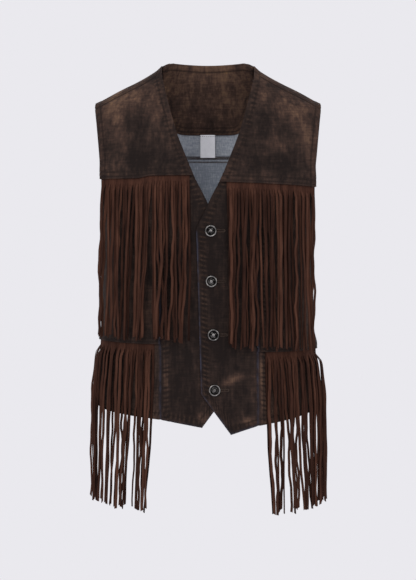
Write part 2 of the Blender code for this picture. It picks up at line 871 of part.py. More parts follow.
def between(rows):
    """The rows of a strand with one more between each two."""
    middles = [tuple((p + q) / 2 for p, q in zip(*pair)) for pair in zip(rows, rows[1:])]
    return rows + middles


def clears(rows, others):
    """Whether a strand stands clear of others, row by row."""
    for other in others:
        for (a, b), (c, d) in zip(between(rows), between(other)):
            if (a + b - c - d).xy.length < 4 * STRAND_PITCH and segment_gap(a, b, c, d) < STRAND_CLEARANCE:
                return False
    return True


def lock_lean(locks, index, count):
    """How far a strand's tip leans with its lock."""
    first = 0
    for lock in locks:
        last = first + lock.strands
        if index < last or lock is locks[-1]:
            middle = (first + min(last, count) - 1) / 2
            return lock.lean - (index - middle) * STRAND_PITCH * lock.gather
        first = last
    return 0.0


def fringe(name, locks, column_at, draw, tips, need, finish, parent):
    """A strip under a seam with strands that hang from it, made in one piece."""
    root_shares = shares(ROOT_SAMPLES)
    samples = [column_at(share, 0.0) for share in root_shares]
    lengths = [0.0]
    for a, b in zip(samples, samples[1:]):
        lengths.append(lengths[-1] + (b - a).length)
    count = round(lengths[-1] / STRAND_PITCH)
    pitch = lengths[-1] / count
    share_at = smooth_curve(lengths, root_shares)
    draws = random.Random(FRINGE_SEED + draw)
    slits = [index * pitch + draws.uniform(-SLIT_SHIFT, SLIT_SHIFT) for index in range(count + 1)]
    slits[0], slits[-1] = 0.0, lengths[-1]
    outer = [[] for _ in range(len(STRAND_STOPS) + 2)]
    inner = [[] for _ in range(len(STRAND_STOPS) + 2)]
    placed = []
    for index in range(count):
        ends = [share_at(slits[index] + STRAND_SLIT / 2), share_at(slits[index + 1] - STRAND_SLIT / 2)]
        for end in ends:
            for row, drop in enumerate((HEADER_TUCK, -HEADER_DEPTH)):
                point = column_at(end, drop)
                outer[row].append(off_cloth(point, CLOTH + SEAM_GAP + SUEDE))
                inner[row].append(off_cloth(point, CLOTH + SEAM_GAP))
        left, right = [(outer[1][k] + inner[1][k]) / 2 for k in (-2, -1)]
        root = (left + right) / 2
        half = (right - left).length / 2
        along = Vector((right.x - left.x, right.y - left.y, 0)).normalized()
        gradient = slope(root)
        out = Vector((gradient.x, gradient.y, 0)).normalized()
        length = root.z - blend(tips[0], tips[1], index / (count - 1))
        length += draws.uniform(-LENGTH_SPREAD, LENGTH_SPREAD)
        own_lean = draws.uniform(-OWN_LEAN, OWN_LEAN)
        bow = draws.uniform(-OWN_BOW, OWN_BOW)
        twist = math.radians(draws.choice((-1, 1)) * draws.choice(OWN_TWISTS))
        slant = draws.uniform(-TIP_SLANT, TIP_SLANT)
        front_turn = FRONT_TURN * math.atan2(along.y, -out.y)
        for keep, move, face in STRAND_TRIES:
            layer = (index + move) % LAYERS if move < LAYERS else move
            lean = lock_lean(locks, index, count) + own_lean * keep
            turns = (twist * keep, front_turn * face)
            rows = strand_rows(root, along, out, half, length, layer, lean, bow * keep, *turns, need)
            if clears(rows, placed[-STRANDS_NEAR:]):
                break
        placed.append(rows)
        for row, (a, b) in enumerate(rows):
            across = (b - a).normalized()
            through = Vector((across.y, -across.x, 0)) * (SUEDE / 2)
            through = through if through.dot(out) > 0 else -through
            tip = Vector((0, 0, slant)) if row == len(rows) - 1 else Vector()
            outer[row + 2] += [a + through - tip, b + through + tip]
            inner[row + 2] += [a - through - tip, b - through + tip]

    def filled(row, column):
        return row == 0 or column % 2 == 0

    add_wall(name, outer, inner, finish, parent, filled)


def upper_fringe(front, finish, parent):
    """The fringe in a front's yoke seam."""
    end = arm_reach(yoke_height(front, SHOULDER_TIP)) - 1.0
    seam_end = blend(front.waist_inner.height, front.waist_outer, 0.5)

    def column_at(share, drop):
        x = blend(FRINGE_START, end, share)
        return front_at(front.sign * x, yoke_height(front, x) + drop)

    def need(point):
        seam_rise = WAIST_LAP.lift * ease((seam_end + UPPER_LIFT_RISE - point.z) / UPPER_LIFT_RUN)
        return LAYER_FIRST + seam_rise + closing_lift(front, point.x, point.z)

    name = f"upper_{front.side}"
    fringe(f"fringe_{name}", LOCKS[name], column_at, 10 + front.sign, front.upper_tips, need, finish, parent)


def lower_fringe(front, finish, parent):
    """The fringe in the seam at the waist, from the long seam round to the side seam."""
    start = turn_at(front.waist_inner.reach, front.waist_inner.height)
    end = side_turn(front.waist_outer, 2 * STRAND_SLIT)

    def column_at(share, drop):
        turn = blend(start, end, share)
        return ring_at(front.sign * turn, waist_height(front, turn) + drop)

    def need(point):
        return LAYER_FIRST

    name = f"lower_{front.side}"
    fringe(f"fringe_{name}", LOCKS[name], column_at, 20 + front.sign, front.lower_tips, need, finish, parent)


def main():
    for old in list(bpy.data.objects):
        bpy.data.objects.remove(old)
    gilet = bpy.data.objects.new("gilet", None)
    bpy.context.scene.collection.objects.link(gilet)
    denim = make_finish(*COATED_BROWN)
    suede = make_finish(*SUEDE_BROWN)
    label = make_finish(*LABEL_WHITE)
    metal = make_finish(*BUTTON_METAL)
    for front in FRONTS:
        front_yoke(front, denim, gilet)
        front_centre(front, denim, gilet)
        front_side(front, denim, gilet)
        front_skirt(front, denim, gilet)
        upper_fringe(front, suede, gilet)
        lower_fringe(front, suede, gilet)
    back_panel(denim, gilet)
    yoke_inner = back_yoke(denim, gilet)
    neck_facing(yoke_inner, denim, gilet)
    neck_label(label, gilet)
    for number, button in enumerate(BUTTONS, start=1):
        add_button(number, button, metal, gilet)


main()
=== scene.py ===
"""Looks of a fringed gilet: coated denim panels, suede fringe, sewing, buttons and a plain label.

Lengths are in millimetres until a mesh is made. +Z is up, the wearer faces -Y and +X is the wearer's left.
Every panel is a thin shell on the same figure of level rings as its solid.
"""

import logging
import math
import random
from bisect import bisect_right
from dataclasses import astuple, dataclass, field
from enum import Enum
from typing import Callable, Iterator, Sequence

import bpy
import numpy as np
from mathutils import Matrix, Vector


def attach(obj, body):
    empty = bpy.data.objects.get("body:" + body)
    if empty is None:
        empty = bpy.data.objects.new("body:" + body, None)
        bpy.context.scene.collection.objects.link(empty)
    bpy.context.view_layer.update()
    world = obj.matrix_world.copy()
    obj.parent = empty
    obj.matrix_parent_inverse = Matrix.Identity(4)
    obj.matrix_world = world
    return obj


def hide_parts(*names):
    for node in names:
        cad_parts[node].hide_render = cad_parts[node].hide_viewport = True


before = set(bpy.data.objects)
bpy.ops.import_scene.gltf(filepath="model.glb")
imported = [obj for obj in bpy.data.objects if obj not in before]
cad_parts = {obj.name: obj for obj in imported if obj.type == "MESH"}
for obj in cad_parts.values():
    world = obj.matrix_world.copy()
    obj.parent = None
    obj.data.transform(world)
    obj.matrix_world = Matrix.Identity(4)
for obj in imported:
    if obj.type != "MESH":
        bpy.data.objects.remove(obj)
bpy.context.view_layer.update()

LOG = logging.getLogger("gilet")
MM = 0.001
BODY = "root"

# Cloth, leather and seams, as in the solids
CLOTH = 1.6
SUEDE = 1.2
FACING_CLOTH = 1.3
LABEL_CLOTH = 1.0
SEAM_GAP = 0.3
LAP_GAP = 0.9
LAP = 6.0
SHOULDER_SEAM_DROP = 11.0
SHOULDER_GAP = 0.8
NECK_SIDE = 75.5
SHOULDER_TIP = 183.5
BACK_YOKE_SEAM = -106.0
BACK_HEM = -503.0
SIDE_HEM = -513.0
FACING_BOTTOM = -65.0
LAP_LIFT = CLOTH + 0.8
LAP_LIFT_REACH = 18.0
LAP_LIFT_FADE = 12.0

# How far the back yoke laps over the fronts at the shoulders
SHOULDER_COVER = 1.2

# Cells of the shells, and the least length to divide by
CELL = 3.4
BACK_CELL = 4.2
EDGE_CELL = 1.25
EDGE_REACH = 13.0
TINY = 1e-9

Grid = np.ndarray
Piece = bpy.types.Object
Finish = bpy.types.Material
Socket = bpy.types.NodeSocket
Place = tuple[int, int]
Spread = Callable[[Grid], Grid]


class Slot(Enum):
    """Material slots."""

    DENIM = "coated_denim"
    SUEDE = "suede"
    LABEL = "label_cloth"
    METAL = "button_metal"


class Tier(Enum):
    """Which seam a fringe hangs from."""

    UPPER = "upper"
    LOWER = "lower"


@dataclass(frozen=True)
class EdgeForm:
    """Sizes of an edge's finish: rounding, raised band, valley, stitch rows and turn-in."""

    bulge: float = 0.0
    band: float = 0.0
    swell: float = 0.0
    dip: float = 0.0
    rows: tuple[float, ...] = ()
    turned: float = 0.0


class EdgeKind(Enum):
    """How an edge is finished: turned in, stitched down, felled, sewn edge to edge, or hidden."""

    HEM = EdgeForm(bulge=0.8, band=9.6, swell=0.55, rows=(9.2,), turned=11.0)
    LAP = EdgeForm(bulge=0.8, band=10.6, swell=0.45, rows=(2.8, 9.8))
    FELL = EdgeForm(bulge=0.7, band=10.4, swell=0.6, dip=0.9, rows=(2.4, 9.2))
    SEAM = EdgeForm(bulge=0.7, dip=0.9)
    UNDER = EdgeForm()


GROOVE = 0.42
GROOVE_HALF = 1.0
DIP_HALF = 1.7
BAND_FADE = 1.6
WORN_FADE = 8.0
GROOVE_SHADE = 1.3
DIP_SHADE = 1.2
WORN_HALF = 1.5
ROPE_PLACE = 0.9
ROPE_HALF = 0.45
ROW_END = 1.8
ROW_SPARE = 0.6
FEWEST = 4
BULGE = 0.8


@dataclass(frozen=True)
class Ring:
    """A level ring of the figure."""

    height: float
    half_width: float
    front: float
    back: float
    squareness: float


# Height, half width, reach to the front and to the back, squareness
RINGS = tuple(Ring(*row) for row in (
    (-760, 181, 97, 93, 2.40), (-520, 180, 98, 94, 2.40), (-420, 174, 96, 89, 2.35), (-330, 172, 96, 85, 2.30),
    (-240, 173, 105, 92, 2.28), (-222, 174, 107, 94, 2.25), (-190, 196, 107, 97, 2.25),
    (-150, 214, 104, 98, 2.22), (-100, 225, 95, 96, 2.18), (-60, 220, 84, 90, 2.12), (-30, 200, 75, 83, 2.08),
    (-21, 180.5, 72, 80, 2.06), (0, 141.5, 66, 74, 2.04), (11.5, 118.5, 62, 69, 2.02), (23, 97.5, 59, 65, 2.00),
    (34.6, 80.5, 57, 63, 2.00), (42, 74, 56, 61, 2.00), (60, 69, 55, 59, 2.00),
))


@dataclass(frozen=True)
class Fold:
    """A soft fold or crease of one face."""

    face: str
    across: float
    height: float
    half_across: float
    half_along: float
    slant: float
    rise: float


def folds(face: str, *rows: tuple[float, ...]) -> tuple[Fold, ...]:
    """Folds of one face: middle, half sizes across and along, slant and rise."""
    return tuple(Fold(face, *row) for row in rows)


# Broad folds first, then fine creases
FOLDS = (
    folds(
        "front",
        (148, -84, 15, 58, 0.10, 2.6), (116, -96, 14, 50, 0.12, -2.2), (-142, -96, 14, 50, -0.12, 2.2),
        (-100, -70, 16, 60, -0.15, -2.0), (62, -515, 22, 20, 0.30, 2.0), (-40, -512, 22, 22, -0.20, 1.8),
    )
    + folds(
        "back",
        (96, -190, 16, 90, 0.25, 3.0), (-104, -205, 16, 85, -0.22, 3.2), (40, -330, 20, 70, 0.12, -3.0),
        (-52, -345, 20, 64, -0.10, -2.6), (8, -420, 26, 60, 0.05, 2.6),
    )
    + folds(
        "front",
        (-126, -40, 7, 26, -0.35, -0.9), (-166, -118, 6, 24, 0.30, -1.1), (-84, -104, 7, 30, 0.25, 0.8),
        (-68, -60, 6, 34, -0.55, -0.8), (168, -112, 6, 26, -0.28, -1.1), (98, -54, 8, 30, 0.40, -0.9),
        (132, -36, 7, 24, 0.30, 0.8), (78, -112, 6, 28, -0.30, 0.7), (36, -262, 9, 24, 0.45, -0.8),
        (44, -352, 8, 26, -0.35, 0.8), (52, -452, 9, 22, 0.55, -0.9), (24, -505, 8, 16, 0.60, 0.9),
        (-44, -300, 8, 30, -0.30, -0.7), (-52, -450, 9, 26, 0.40, -0.9), (-20, -520, 9, 15, -0.50, 0.9),
        (148, -470, 9, 30, 0.20, -0.9), (-146, -462, 9, 30, -0.25, -0.9),
    )
    + folds(
        "back",
        (150, -150, 8, 40, 0.35, -1.2), (-152, -146, 8, 42, -0.35, -1.2), (70, -60, 9, 34, 0.30, 0.9),
        (-64, -66, 9, 30, -0.25, 0.9), (118, -300, 9, 44, 0.30, -1.2), (-122, -322, 9, 48, -0.28, -1.2),
        (70, -468, 10, 26, 0.20, 1.1), (-66, -472, 10, 24, -0.25, 1.1),
    )
)


def ease(share: Grid | float) -> Grid | float:
    """A soft step from 0 to 1."""
    t = np.clip(share, 0.0, 1.0)
    return t * t * (3 - 2 * t)


def soft_step(share: float) -> float:
    """The soft step for one number."""
    t = min(max(share, 0.0), 1.0)
    return t * t * (3 - 2 * t)


def blend(a: float, b: float, share: float) -> float:
    """The value at a share of the way from a to b, for numbers or arrays."""
    return a + (b - a) * share


class Curve:
    """A smooth curve through values that never swings past them."""

    def __init__(self, places: Sequence[float], values: Sequence[float]) -> None:
        """Finds the slopes at the places.

        Args:
            places: Rising places along the curve.
            values: The value at each place.
        """
        places, values = [float(p) for p in places], [float(v) for v in values]
        steps = [(d - c) / (b - a) for a, b, c, d in zip(places, places[1:], values, values[1:])]
        slopes = [steps[0]]
        for before, after in zip(steps, steps[1:]):
            slopes.append(0.0 if before * after <= 0 else 2 * before * after / (before + after))
        self.lists = places, values, slopes + [steps[-1]]
        self.arrays = [np.array(row) for row in self.lists]

    @staticmethod
    def _cubic(place: Grid | float, i: Grid | int, places: Grid, values: Grid, slopes: Grid) -> Grid | float:
        """The value after the known place i, on the cubic to the next one."""
        width = places[i + 1] - places[i]
        t = (place - places[i]) / width
        start = values[i] * (1 + 2 * t) * (1 - t) ** 2 + slopes[i] * width * t * (1 - t) ** 2
        return start + values[i + 1] * t * t * (3 - 2 * t) - slopes[i + 1] * width * t * t * (1 - t)

    def at(self, place: float) -> float:
        """The value at one place.

        Args:
            place: A place, kept within the curve's ends.

        Returns:
            The value there.
        """
        places = self.lists[0]
        place = min(max(place, places[0]), places[-1])
        i = min(max(bisect_right(places, place) - 1, 0), len(places) - 2)
        return self._cubic(place, i, *self.lists)

    def __call__(self, place: Grid | float) -> Grid:
        """The values at many places.

        Args:
            place: Places, kept within the curve's ends.

        Returns:
            The values there, in the same shape.
        """
        places = self.arrays[0]
        place = np.clip(place, places[0], places[-1])
        i = np.clip(np.searchsorted(places, place, side="right") - 1, 0, len(places) - 2)
        return self._cubic(place, i, *self.arrays)


def solve(inside: Callable[[Grid], Grid], low: Grid, high: Grid) -> Grid:
    """Finds where a test turns from true to false.

    Args:
        inside: The test, true at low and false at high.
        low: Places where it is true.
        high: Places where it is false.

    Returns:
        The places between them where it turns.
    """
    low, high = np.array(low, float), np.array(high, float)
    for _ in range(48):
        middle = (low + high) / 2
        good = inside(middle)
        low = np.where(good, middle, low)
        high = np.where(good, high, middle)
    return (low + high) / 2


class Figure:
    """The general figure that the cloth follows, as level rings."""

    STEP = 0.05

    def __init__(self) -> None:
        """Makes the curves through the rings."""
        heights, *sizes = zip(*map(astuple, RINGS))
        curves = [Curve(heights, size) for size in sizes]
        self.half_width, self.front_depth, self.back_depth, self.squareness = curves

    def _depth(self, x: Grid, z: Grid, depth: Curve) -> Grid:
        """How far the figure reaches at x on the ring at height z."""
        power = self.squareness(z)
        rest = 1 - np.minimum(np.abs(x) / self.half_width(z), 1.0) ** power
        return depth(z) * rest ** (1 / power)

    def front(self, x: Grid, z: Grid) -> Grid:
        """Points of the front at x and height z."""
        return np.stack(np.broadcast_arrays(x, -self._depth(x, z, self.front_depth), z), -1)

    def back(self, x: Grid, z: Grid) -> Grid:
        """Points of the back at x and height z."""
        return np.stack(np.broadcast_arrays(x, self._depth(x, z, self.back_depth), z), -1)

    def ring(self, turn: Grid, z: Grid) -> Grid:
        """Points of the rings.

        Args:
            turn: Turns in degrees: 0 in front, 90 at the wearer's left, 180 behind.
            z: Heights.

        Returns:
            The points.
        """
        power = 2 / self.squareness(z)
        s, c = np.sin(np.radians(turn)), np.cos(np.radians(turn))
        x = np.copysign(self.half_width(z) * np.abs(s) ** power, s)
        depth = np.where(c > 0, self.front_depth(z), self.back_depth(z))
        y = -np.copysign(depth * np.abs(c) ** power, c)
        return np.stack(np.broadcast_arrays(x, y, z), -1)

    def turn(self, x: Grid, z: Grid) -> Grid:
        """The turns in degrees of front points at x."""
        share = np.minimum(np.abs(x) / self.half_width(z), 1.0) ** (self.squareness(z) / 2)
        return np.copysign(np.degrees(np.arcsin(share)), x)

    def side_turn(self, z: Grid, gap: float = SEAM_GAP / 2) -> Grid:
        """The turn of the side seam, a gap in front of the widest place."""
        share = (gap / self.front_depth(z)) ** (self.squareness(z) / 2)
        return np.degrees(np.arccos(share))

    def ridge(self, x: Grid | float) -> Grid:
        """The height of the shoulder line at x."""
        x = np.asarray(x, float)
        return solve(lambda z: self.half_width(z) > np.abs(x), np.full(x.shape, -60.0), np.full(x.shape, 60.0))

    def level(self, points: Grid) -> Grid:
        """How far points lie outside their rings, as a share of the rings' size."""
        x, y, z = np.moveaxis(points, -1, 0)
        power = self.squareness(z)
        depth = np.where(y < 0, self.front_depth(z), self.back_depth(z))
        across = (np.abs(x) / self.half_width(z)) ** power
        return (across + (np.abs(y) / depth) ** power) ** (1 / power) - 1

    def normals(self, points: Grid) -> Grid:
        """The outward directions at points."""
        moves = np.eye(3) * self.STEP
        slope = np.stack([self.level(points + m) - self.level(points - m) for m in moves], -1)
        return unit(slope)

    def level_at(self, point: Vector) -> float:
        """The level of one point."""
        power = self.squareness.at(point.z)
        depth = self.front_depth.at(point.z) if point.y < 0 else self.back_depth.at(point.z)
        across = (abs(point.x) / self.half_width.at(point.z)) ** power
        return (across + (abs(point.y) / depth) ** power) ** (1 / power) - 1

    def slope_at(self, point: Vector) -> Vector:
        """The gradient of the level at one point."""
        moves = [Vector((self.STEP, 0, 0)), Vector((0, self.STEP, 0)), Vector((0, 0, self.STEP))]
        return Vector([(self.level_at(point + m) - self.level_at(point - m)) / (2 * self.STEP) for m in moves])

    def rise(self, points: Grid) -> Grid:
        """How far folds and creases lift the cloth.

        Args:
            points: Points of the figure.

        Returns:
            The lift at each point.
        """
        rise = np.zeros(points.shape[:-1])
        ahead = points[..., 1] < 0
        for fold in FOLDS:
            along = points[..., 2] - fold.height
            across = points[..., 0] - fold.across - fold.slant * along
            bump = fold.rise * np.exp(-((across / fold.half_across) ** 2) - (along / fold.half_along) ** 2)
            rise += np.where(ahead == (fold.face == "front"), bump, 0.0)
        return rise

    def off(self, points: Grid, offset: Grid | float) -> Grid:
        """Points moved out by the folds and by offsets."""
        lift = np.broadcast_to(offset, points.shape[:-1]) + self.rise(points)
        return points + self.normals(points) * lift[..., None]


FIGURE = Figure()


@dataclass(frozen=True)
class Edge:
    """A place of a cut edge: its height and its reach from the middle."""

    height: float
    reach: float


NECKLINE = tuple(Edge(*row) for row in (
    (-231, -18), (-179, 6.6), (-148, 22.3), (-110, 38.0), (-75, 51.2), (-30, 63.8), (0, 71.2), (27, 75.6),
    (46, NECK_SIDE),
))
ARMHOLE = tuple(Edge(*row) for row in (
    (-240, 176), (-222, 174.4), (-160, 171), (-110, 174.5), (-60, 179.5), (-21, SHOULDER_TIP),
    (60, SHOULDER_TIP),
))
NECK_REACH, ARM_REACH = (Curve(*zip(*map(astuple, edge))) for edge in (NECKLINE, ARMHOLE))
UNDERARM = float(solve(lambda z: FIGURE.half_width(z) <= ARM_REACH(z), np.array(-240.0), np.array(-195.0)))


@dataclass(frozen=True)
class FrontCut:
    """The cut of one front. Reaches are from the middle towards its own side."""

    side: str
    sign: int
    yoke_reaches: tuple[float, ...]
    yoke_heights: tuple[float, ...]
    waist_inner: Edge
    waist_outer: float
    edge_corner: Edge
    point: Edge
    princess_top: float
    princess_hem: Edge
    upper_tips: tuple[float, float]
    lower_tips: tuple[float, float]
    band_on_centre: bool

    @property
    def yoke(self) -> Curve:
        """The height of the yoke seam along its reach."""
        return Curve(self.yoke_reaches, self.yoke_heights)

    def waist(self, turn: Grid) -> Grid:
        """The height of the seam that holds the lower fringe."""
        start = FIGURE.turn(self.waist_inner.reach, self.waist_inner.height)
        return blend(self.waist_inner.height, self.waist_outer, ease((turn - start) / (90 - start)))

    def waist_edge(self, rise: float = 0.0) -> Spread:
        """The edge of the pieces at the lower fringe, a rise above its seam."""
        start, end = self.princess_turn(self.waist_inner.height), FIGURE.side_turn(self.waist_outer)
        return run(start, end, lambda turn: self.waist(turn) + rise)

    def princess(self, z: Grid) -> Grid:
        """How far the long seam lies from the middle."""
        share = (self.yoke_heights[0] - z) / (self.yoke_heights[0] - self.princess_hem.height)
        return blend(self.princess_top, self.princess_hem.reach, share)

    def princess_turn(self, z: Grid) -> Grid:
        """The turn of the side pieces' edge at the long seam."""
        return FIGURE.turn(self.princess(z) + SEAM_GAP / 2, z)

    def closing(self, z: Grid) -> Grid:
        """How far the front reaches at its free edge, past the middle where negative."""
        end = NECKLINE[0]
        share = np.minimum((end.height - z) / (end.height - self.edge_corner.height), 1.0)
        return np.where(z >= end.height, NECK_REACH(z), blend(end.reach, self.edge_corner.reach, share))

    def closing_lift(self, x: Grid, z: Grid) -> Grid:
        """How far the upper front lies out over the lower one."""
        if self.sign < 0:
            return np.zeros(np.shape(x))
        under = -RIGHT.closing(z)
        return LAP_LIFT * ease((under + LAP_LIFT_REACH - x) / LAP_LIFT_FADE)


RIGHT = FrontCut(
    side="right",
    sign=-1,
    yoke_reaches=(0, 90, 114, 200),
    yoke_heights=(-145, -145, -149, -148),
    waist_inner=Edge(-414, 85),
    waist_outer=-408,
    edge_corner=Edge(-484, -37),
    point=Edge(-547.6, 9.6),
    princess_top=77.8,
    princess_hem=Edge(-535, 76),
    upper_tips=(-409, -403),
    lower_tips=(-681, -665),
    band_on_centre=True,
)
LEFT = FrontCut(
    side="left",
    sign=1,
    yoke_reaches=(0, 110, 200),
    yoke_heights=(-155, -158, -162),
    waist_inner=Edge(-427, 90.6),
    waist_outer=-423,
    edge_corner=Edge(-494.5, -10.6),
    point=Edge(-558.7, 36.5),
    princess_top=77.8,
    princess_hem=Edge(-545, 80),
    upper_tips=(-418, -427),
    lower_tips=(-687, -671),
    band_on_centre=False,
)


@dataclass(frozen=True)
class Stain:
    """A lighter or darker stain of the coating: middle, half sizes and strength."""

    across: float
    height: float
    half_across: float
    half_along: float
    strength: float


# Middle, half sizes across and along, strength
STAINS = tuple(Stain(*row) for row in (
    (-134, -18, 20, 14, 0.8), (-150, -44, 16, 16, 0.6), (-136, -38, 12, 14, -0.7), (-164, -88, 9, 22, -0.8),
    (-160, -122, 14, 16, 0.5), (-112, -92, 22, 24, -0.5), (-84, -52, 14, 34, 0.4), (118, -30, 24, 18, 0.7),
    (146, -46, 16, 24, 0.5), (160, -92, 12, 26, 0.5), (100, -72, 16, 36, -0.7), (134, -96, 14, 26, -0.6),
    (76, -120, 16, 20, -0.4), (-149, -24, 22, 30, 1.2), (-104, -10, 16, 22, 0.9), (-135, -80, 26, 14, 0.7),
    (136, -36, 20, 34, 0.45), (98, -88, 16, 12, 0.8), (80, -64, 14, 30, -0.6), (-100, -122, 70, 16, -0.9),
    (105, -128, 70, 20, -1.1), (27, -478, 11, 5, 1.5), (39, -472, 10, 5, 2.0), (51, -466, 10, 5, 1.5),
    (63, -537, 17, 6, 2.2), (-8, -532, 12, 8, 1.6), (52, -260, 16, 40, 0.5), (40, -330, 18, 26, 0.3),
    (-40, -250, 14, 60, 0.3), (-67, -470, 4, 42, 2.6), (86, -470, 5, 42, 1.6), (30, -420, 30, 30, -0.4),
    (-46, -500, 24, 20, -0.3),
))


def graded(length: float, cell: float, breaks: Sequence[float] = ()) -> Grid:
    """Shares along a panel with close steps near both ends.

    Args:
        length: About how long the panel is.
        cell: The step away from the ends.
        breaks: Shares that the steps have to meet.

    Returns:
        Shares from 0 to 1.
    """
    places = [0.0]
    while places[-1] < length:
        near = min(places[-1], length - places[-1])
        places.append(places[-1] + (EDGE_CELL if near < EDGE_REACH else cell))
    shares = np.array(places) / places[-1]
    for place in breaks:
        nearest = 1 + int(np.argmin(np.abs(shares[1:-1] - place)))
        shares[nearest] = place
    return shares


def patch(sides: tuple[Spread, Spread, Spread, Spread], across: Grid, up: Grid) -> Grid:
    """A grid of flat points spread smoothly between four edges.

    Args:
        sides: The bottom, top, left and right edge, each a function of shares.
        across: Shares along the bottom and top.
        up: Shares along the left and right.

    Returns:
        Rows of flat points.
    """
    bottom, top, left, right = sides
    low, high, near, far = bottom(across), top(across), left(up), right(up)
    u, v = across[None, :, None], up[:, None, None]
    rails = blend(low[None], high[None], v) + blend(near[:, None], far[:, None], u)
    return rails - blend(blend(low[0], low[-1], u), blend(high[0], high[-1], u), v)


def pair(a: Grid, b: Grid) -> Grid:
    """Flat points from two lists of numbers."""
    return np.stack(np.broadcast_arrays(a, b), -1)


def unit(vectors: Grid) -> Grid:
    """Vectors brought to a length of 1."""
    return vectors / np.maximum(np.linalg.norm(vectors, axis=-1, keepdims=True), TINY)


def run(start: float, end: float, other: Spread, upright: bool = False) -> Spread:
    """An edge along which one coordinate runs evenly.

    Args:
        start: Where that coordinate starts.
        end: Where it ends.
        other: The other coordinate at each value of the first.
        upright: Whether it is the height that runs evenly.

    Returns:
        A function that gives flat points at shares of the way.
    """

    def points(share: Grid) -> Grid:
        """Flat points at shares."""
        even = blend(start, end, share)
        return pair(other(even), even) if upright else pair(even, other(even))

    return points


def uprights(bottom: Spread, top: Spread, *reaches: Spread) -> list[Spread]:
    """The left and right edge between the ends of a bottom and a top edge."""
    ends = np.array([0.0, 1.0])
    heights = zip(bottom(ends)[:, 1], top(ends)[:, 1])
    return [run(low, high, reach, upright=True) for (low, high), reach in zip(heights, reaches)]


def all_cells(grid: Grid) -> Grid:
    """Every cell of a grid of points, filled."""
    return np.ones((grid.shape[0] - 1, grid.shape[1] - 1), bool)


def place_object(name: str, data: bpy.types.ID) -> Piece:
    """Puts a new object into the scene."""
    piece = bpy.data.objects.new(name, data)
    bpy.context.scene.collection.objects.link(piece)
    return piece


def line_gap(points: Grid, line: Grid) -> Grid:
    """The distance of points from a line.

    Args:
        points: Points in any arrangement.
        line: The line's points in order.

    Returns:
        The shortest distance of each point.
    """
    best = np.full(points.shape[:-1], np.inf)
    for start, end in zip(line, line[1:]):
        step = end - start
        share = np.clip(((points - start) @ step) / max(float(step @ step), TINY), 0.0, 1.0)
        best = np.minimum(best, ((points - start - share[..., None] * step) ** 2).sum(-1))
    return np.sqrt(best)


@dataclass(frozen=True)
class Lapped:
    """A lapped edge: the share of height that lies raised, the share that comes down, and the lift."""

    flat: float
    fade: float
    lift: float

    def rise(self, share: Grid) -> Grid:
        """The lift at shares of the height above the edge."""
        return self.lift * (1 - ease((share - self.flat) / self.fade))


YOKE_LAP = Lapped(0.06, 0.24, CLOTH + SEAM_GAP + SUEDE + LAP_GAP)
WAIST_LAP = Lapped(0.04, 0.12, CLOTH + SEAM_GAP + SUEDE + LAP_GAP)
BACK_LAP = Lapped(0.06, 0.24, CLOTH + LAP_GAP)


def linear(red: float, green: float, blue: float) -> tuple[float, float, float, float]:
    """A shader colour from sRGB parts of 255."""
    parts = [c / 255 for c in (red, green, blue)]
    parts = [c / 12.92 if c <= 0.04045 else ((c + 0.055) / 1.055) ** 2.4 for c in parts]
    return (parts[0], parts[1], parts[2], 1.0)


class Value:
    """A number that varies over a surface. Its operators add Math nodes."""

    def __init__(self, graph: "Graph", socket: Socket) -> None:
        """Wraps an output socket."""
        self.graph = graph
        self.socket = socket

    def _math(self, operation: str, *others: "Value | float") -> "Value":
        """The result of a Math node on this value and others."""
        sockets = {i: v for i, v in enumerate((self,) + others)}
        return self.graph.value("ShaderNodeMath", {"operation": operation}, sockets)

    def __add__(self, other: "Value | float") -> "Value":
        """The sum."""
        return self._math("ADD", other)

    __radd__ = __add__

    def __sub__(self, other: "Value | float") -> "Value":
        """The difference."""
        return self._math("SUBTRACT", other)

    def __rsub__(self, other: float) -> "Value":
        """The difference from a number."""
        return self.graph.value("ShaderNodeMath", {"operation": "SUBTRACT"}, {0: other, 1: self})

    def __mul__(self, other: "Value | float") -> "Value":
        """The product."""
        return self._math("MULTIPLY", other)

    __rmul__ = __mul__

    def sine(self) -> "Value":
        """The sine of radians."""
        return self._math("SINE")

    def clamped(self) -> "Value":
        """The value kept between 0 and 1."""
        return self.graph.value("ShaderNodeClamp", {}, {"Value": self})

    def between(self, low: float, high: float) -> "Value":
        """A soft step from 0 at low to 1 at high."""
        settings = {"interpolation_type": "SMOOTHSTEP"}
        return self.graph.value("ShaderNodeMapRange", settings, {"Value": self, "From Min": low, "From Max": high})


Source = Value | Socket | float | tuple


class Nodes:
    """A node tree that is filled through one method."""

    def __init__(self, tree: bpy.types.NodeTree) -> None:
        """Takes the tree."""
        self.tree = tree

    def node(self, kind: str, settings: dict, sockets: dict[str | int, Source]) -> bpy.types.Node:
        """Adds a node.

        Args:
            kind: The node's type.
            settings: Its properties, set first.
            sockets: Values or links of its inputs, by name or number.

        Returns:
            The node.
        """
        node = self.tree.nodes.new(kind)
        for key, value in settings.items():
            setattr(node, key, value)
        for key, value in sockets.items():
            self.feed(node.inputs[key], value)
        return node

    def feed(self, socket: Socket, value: Source) -> None:
        """Sets or links one input."""
        source = value.socket if isinstance(value, Value) else value
        if isinstance(source, Socket):
            self.tree.links.new(source, socket)
        else:
            socket.default_value = source


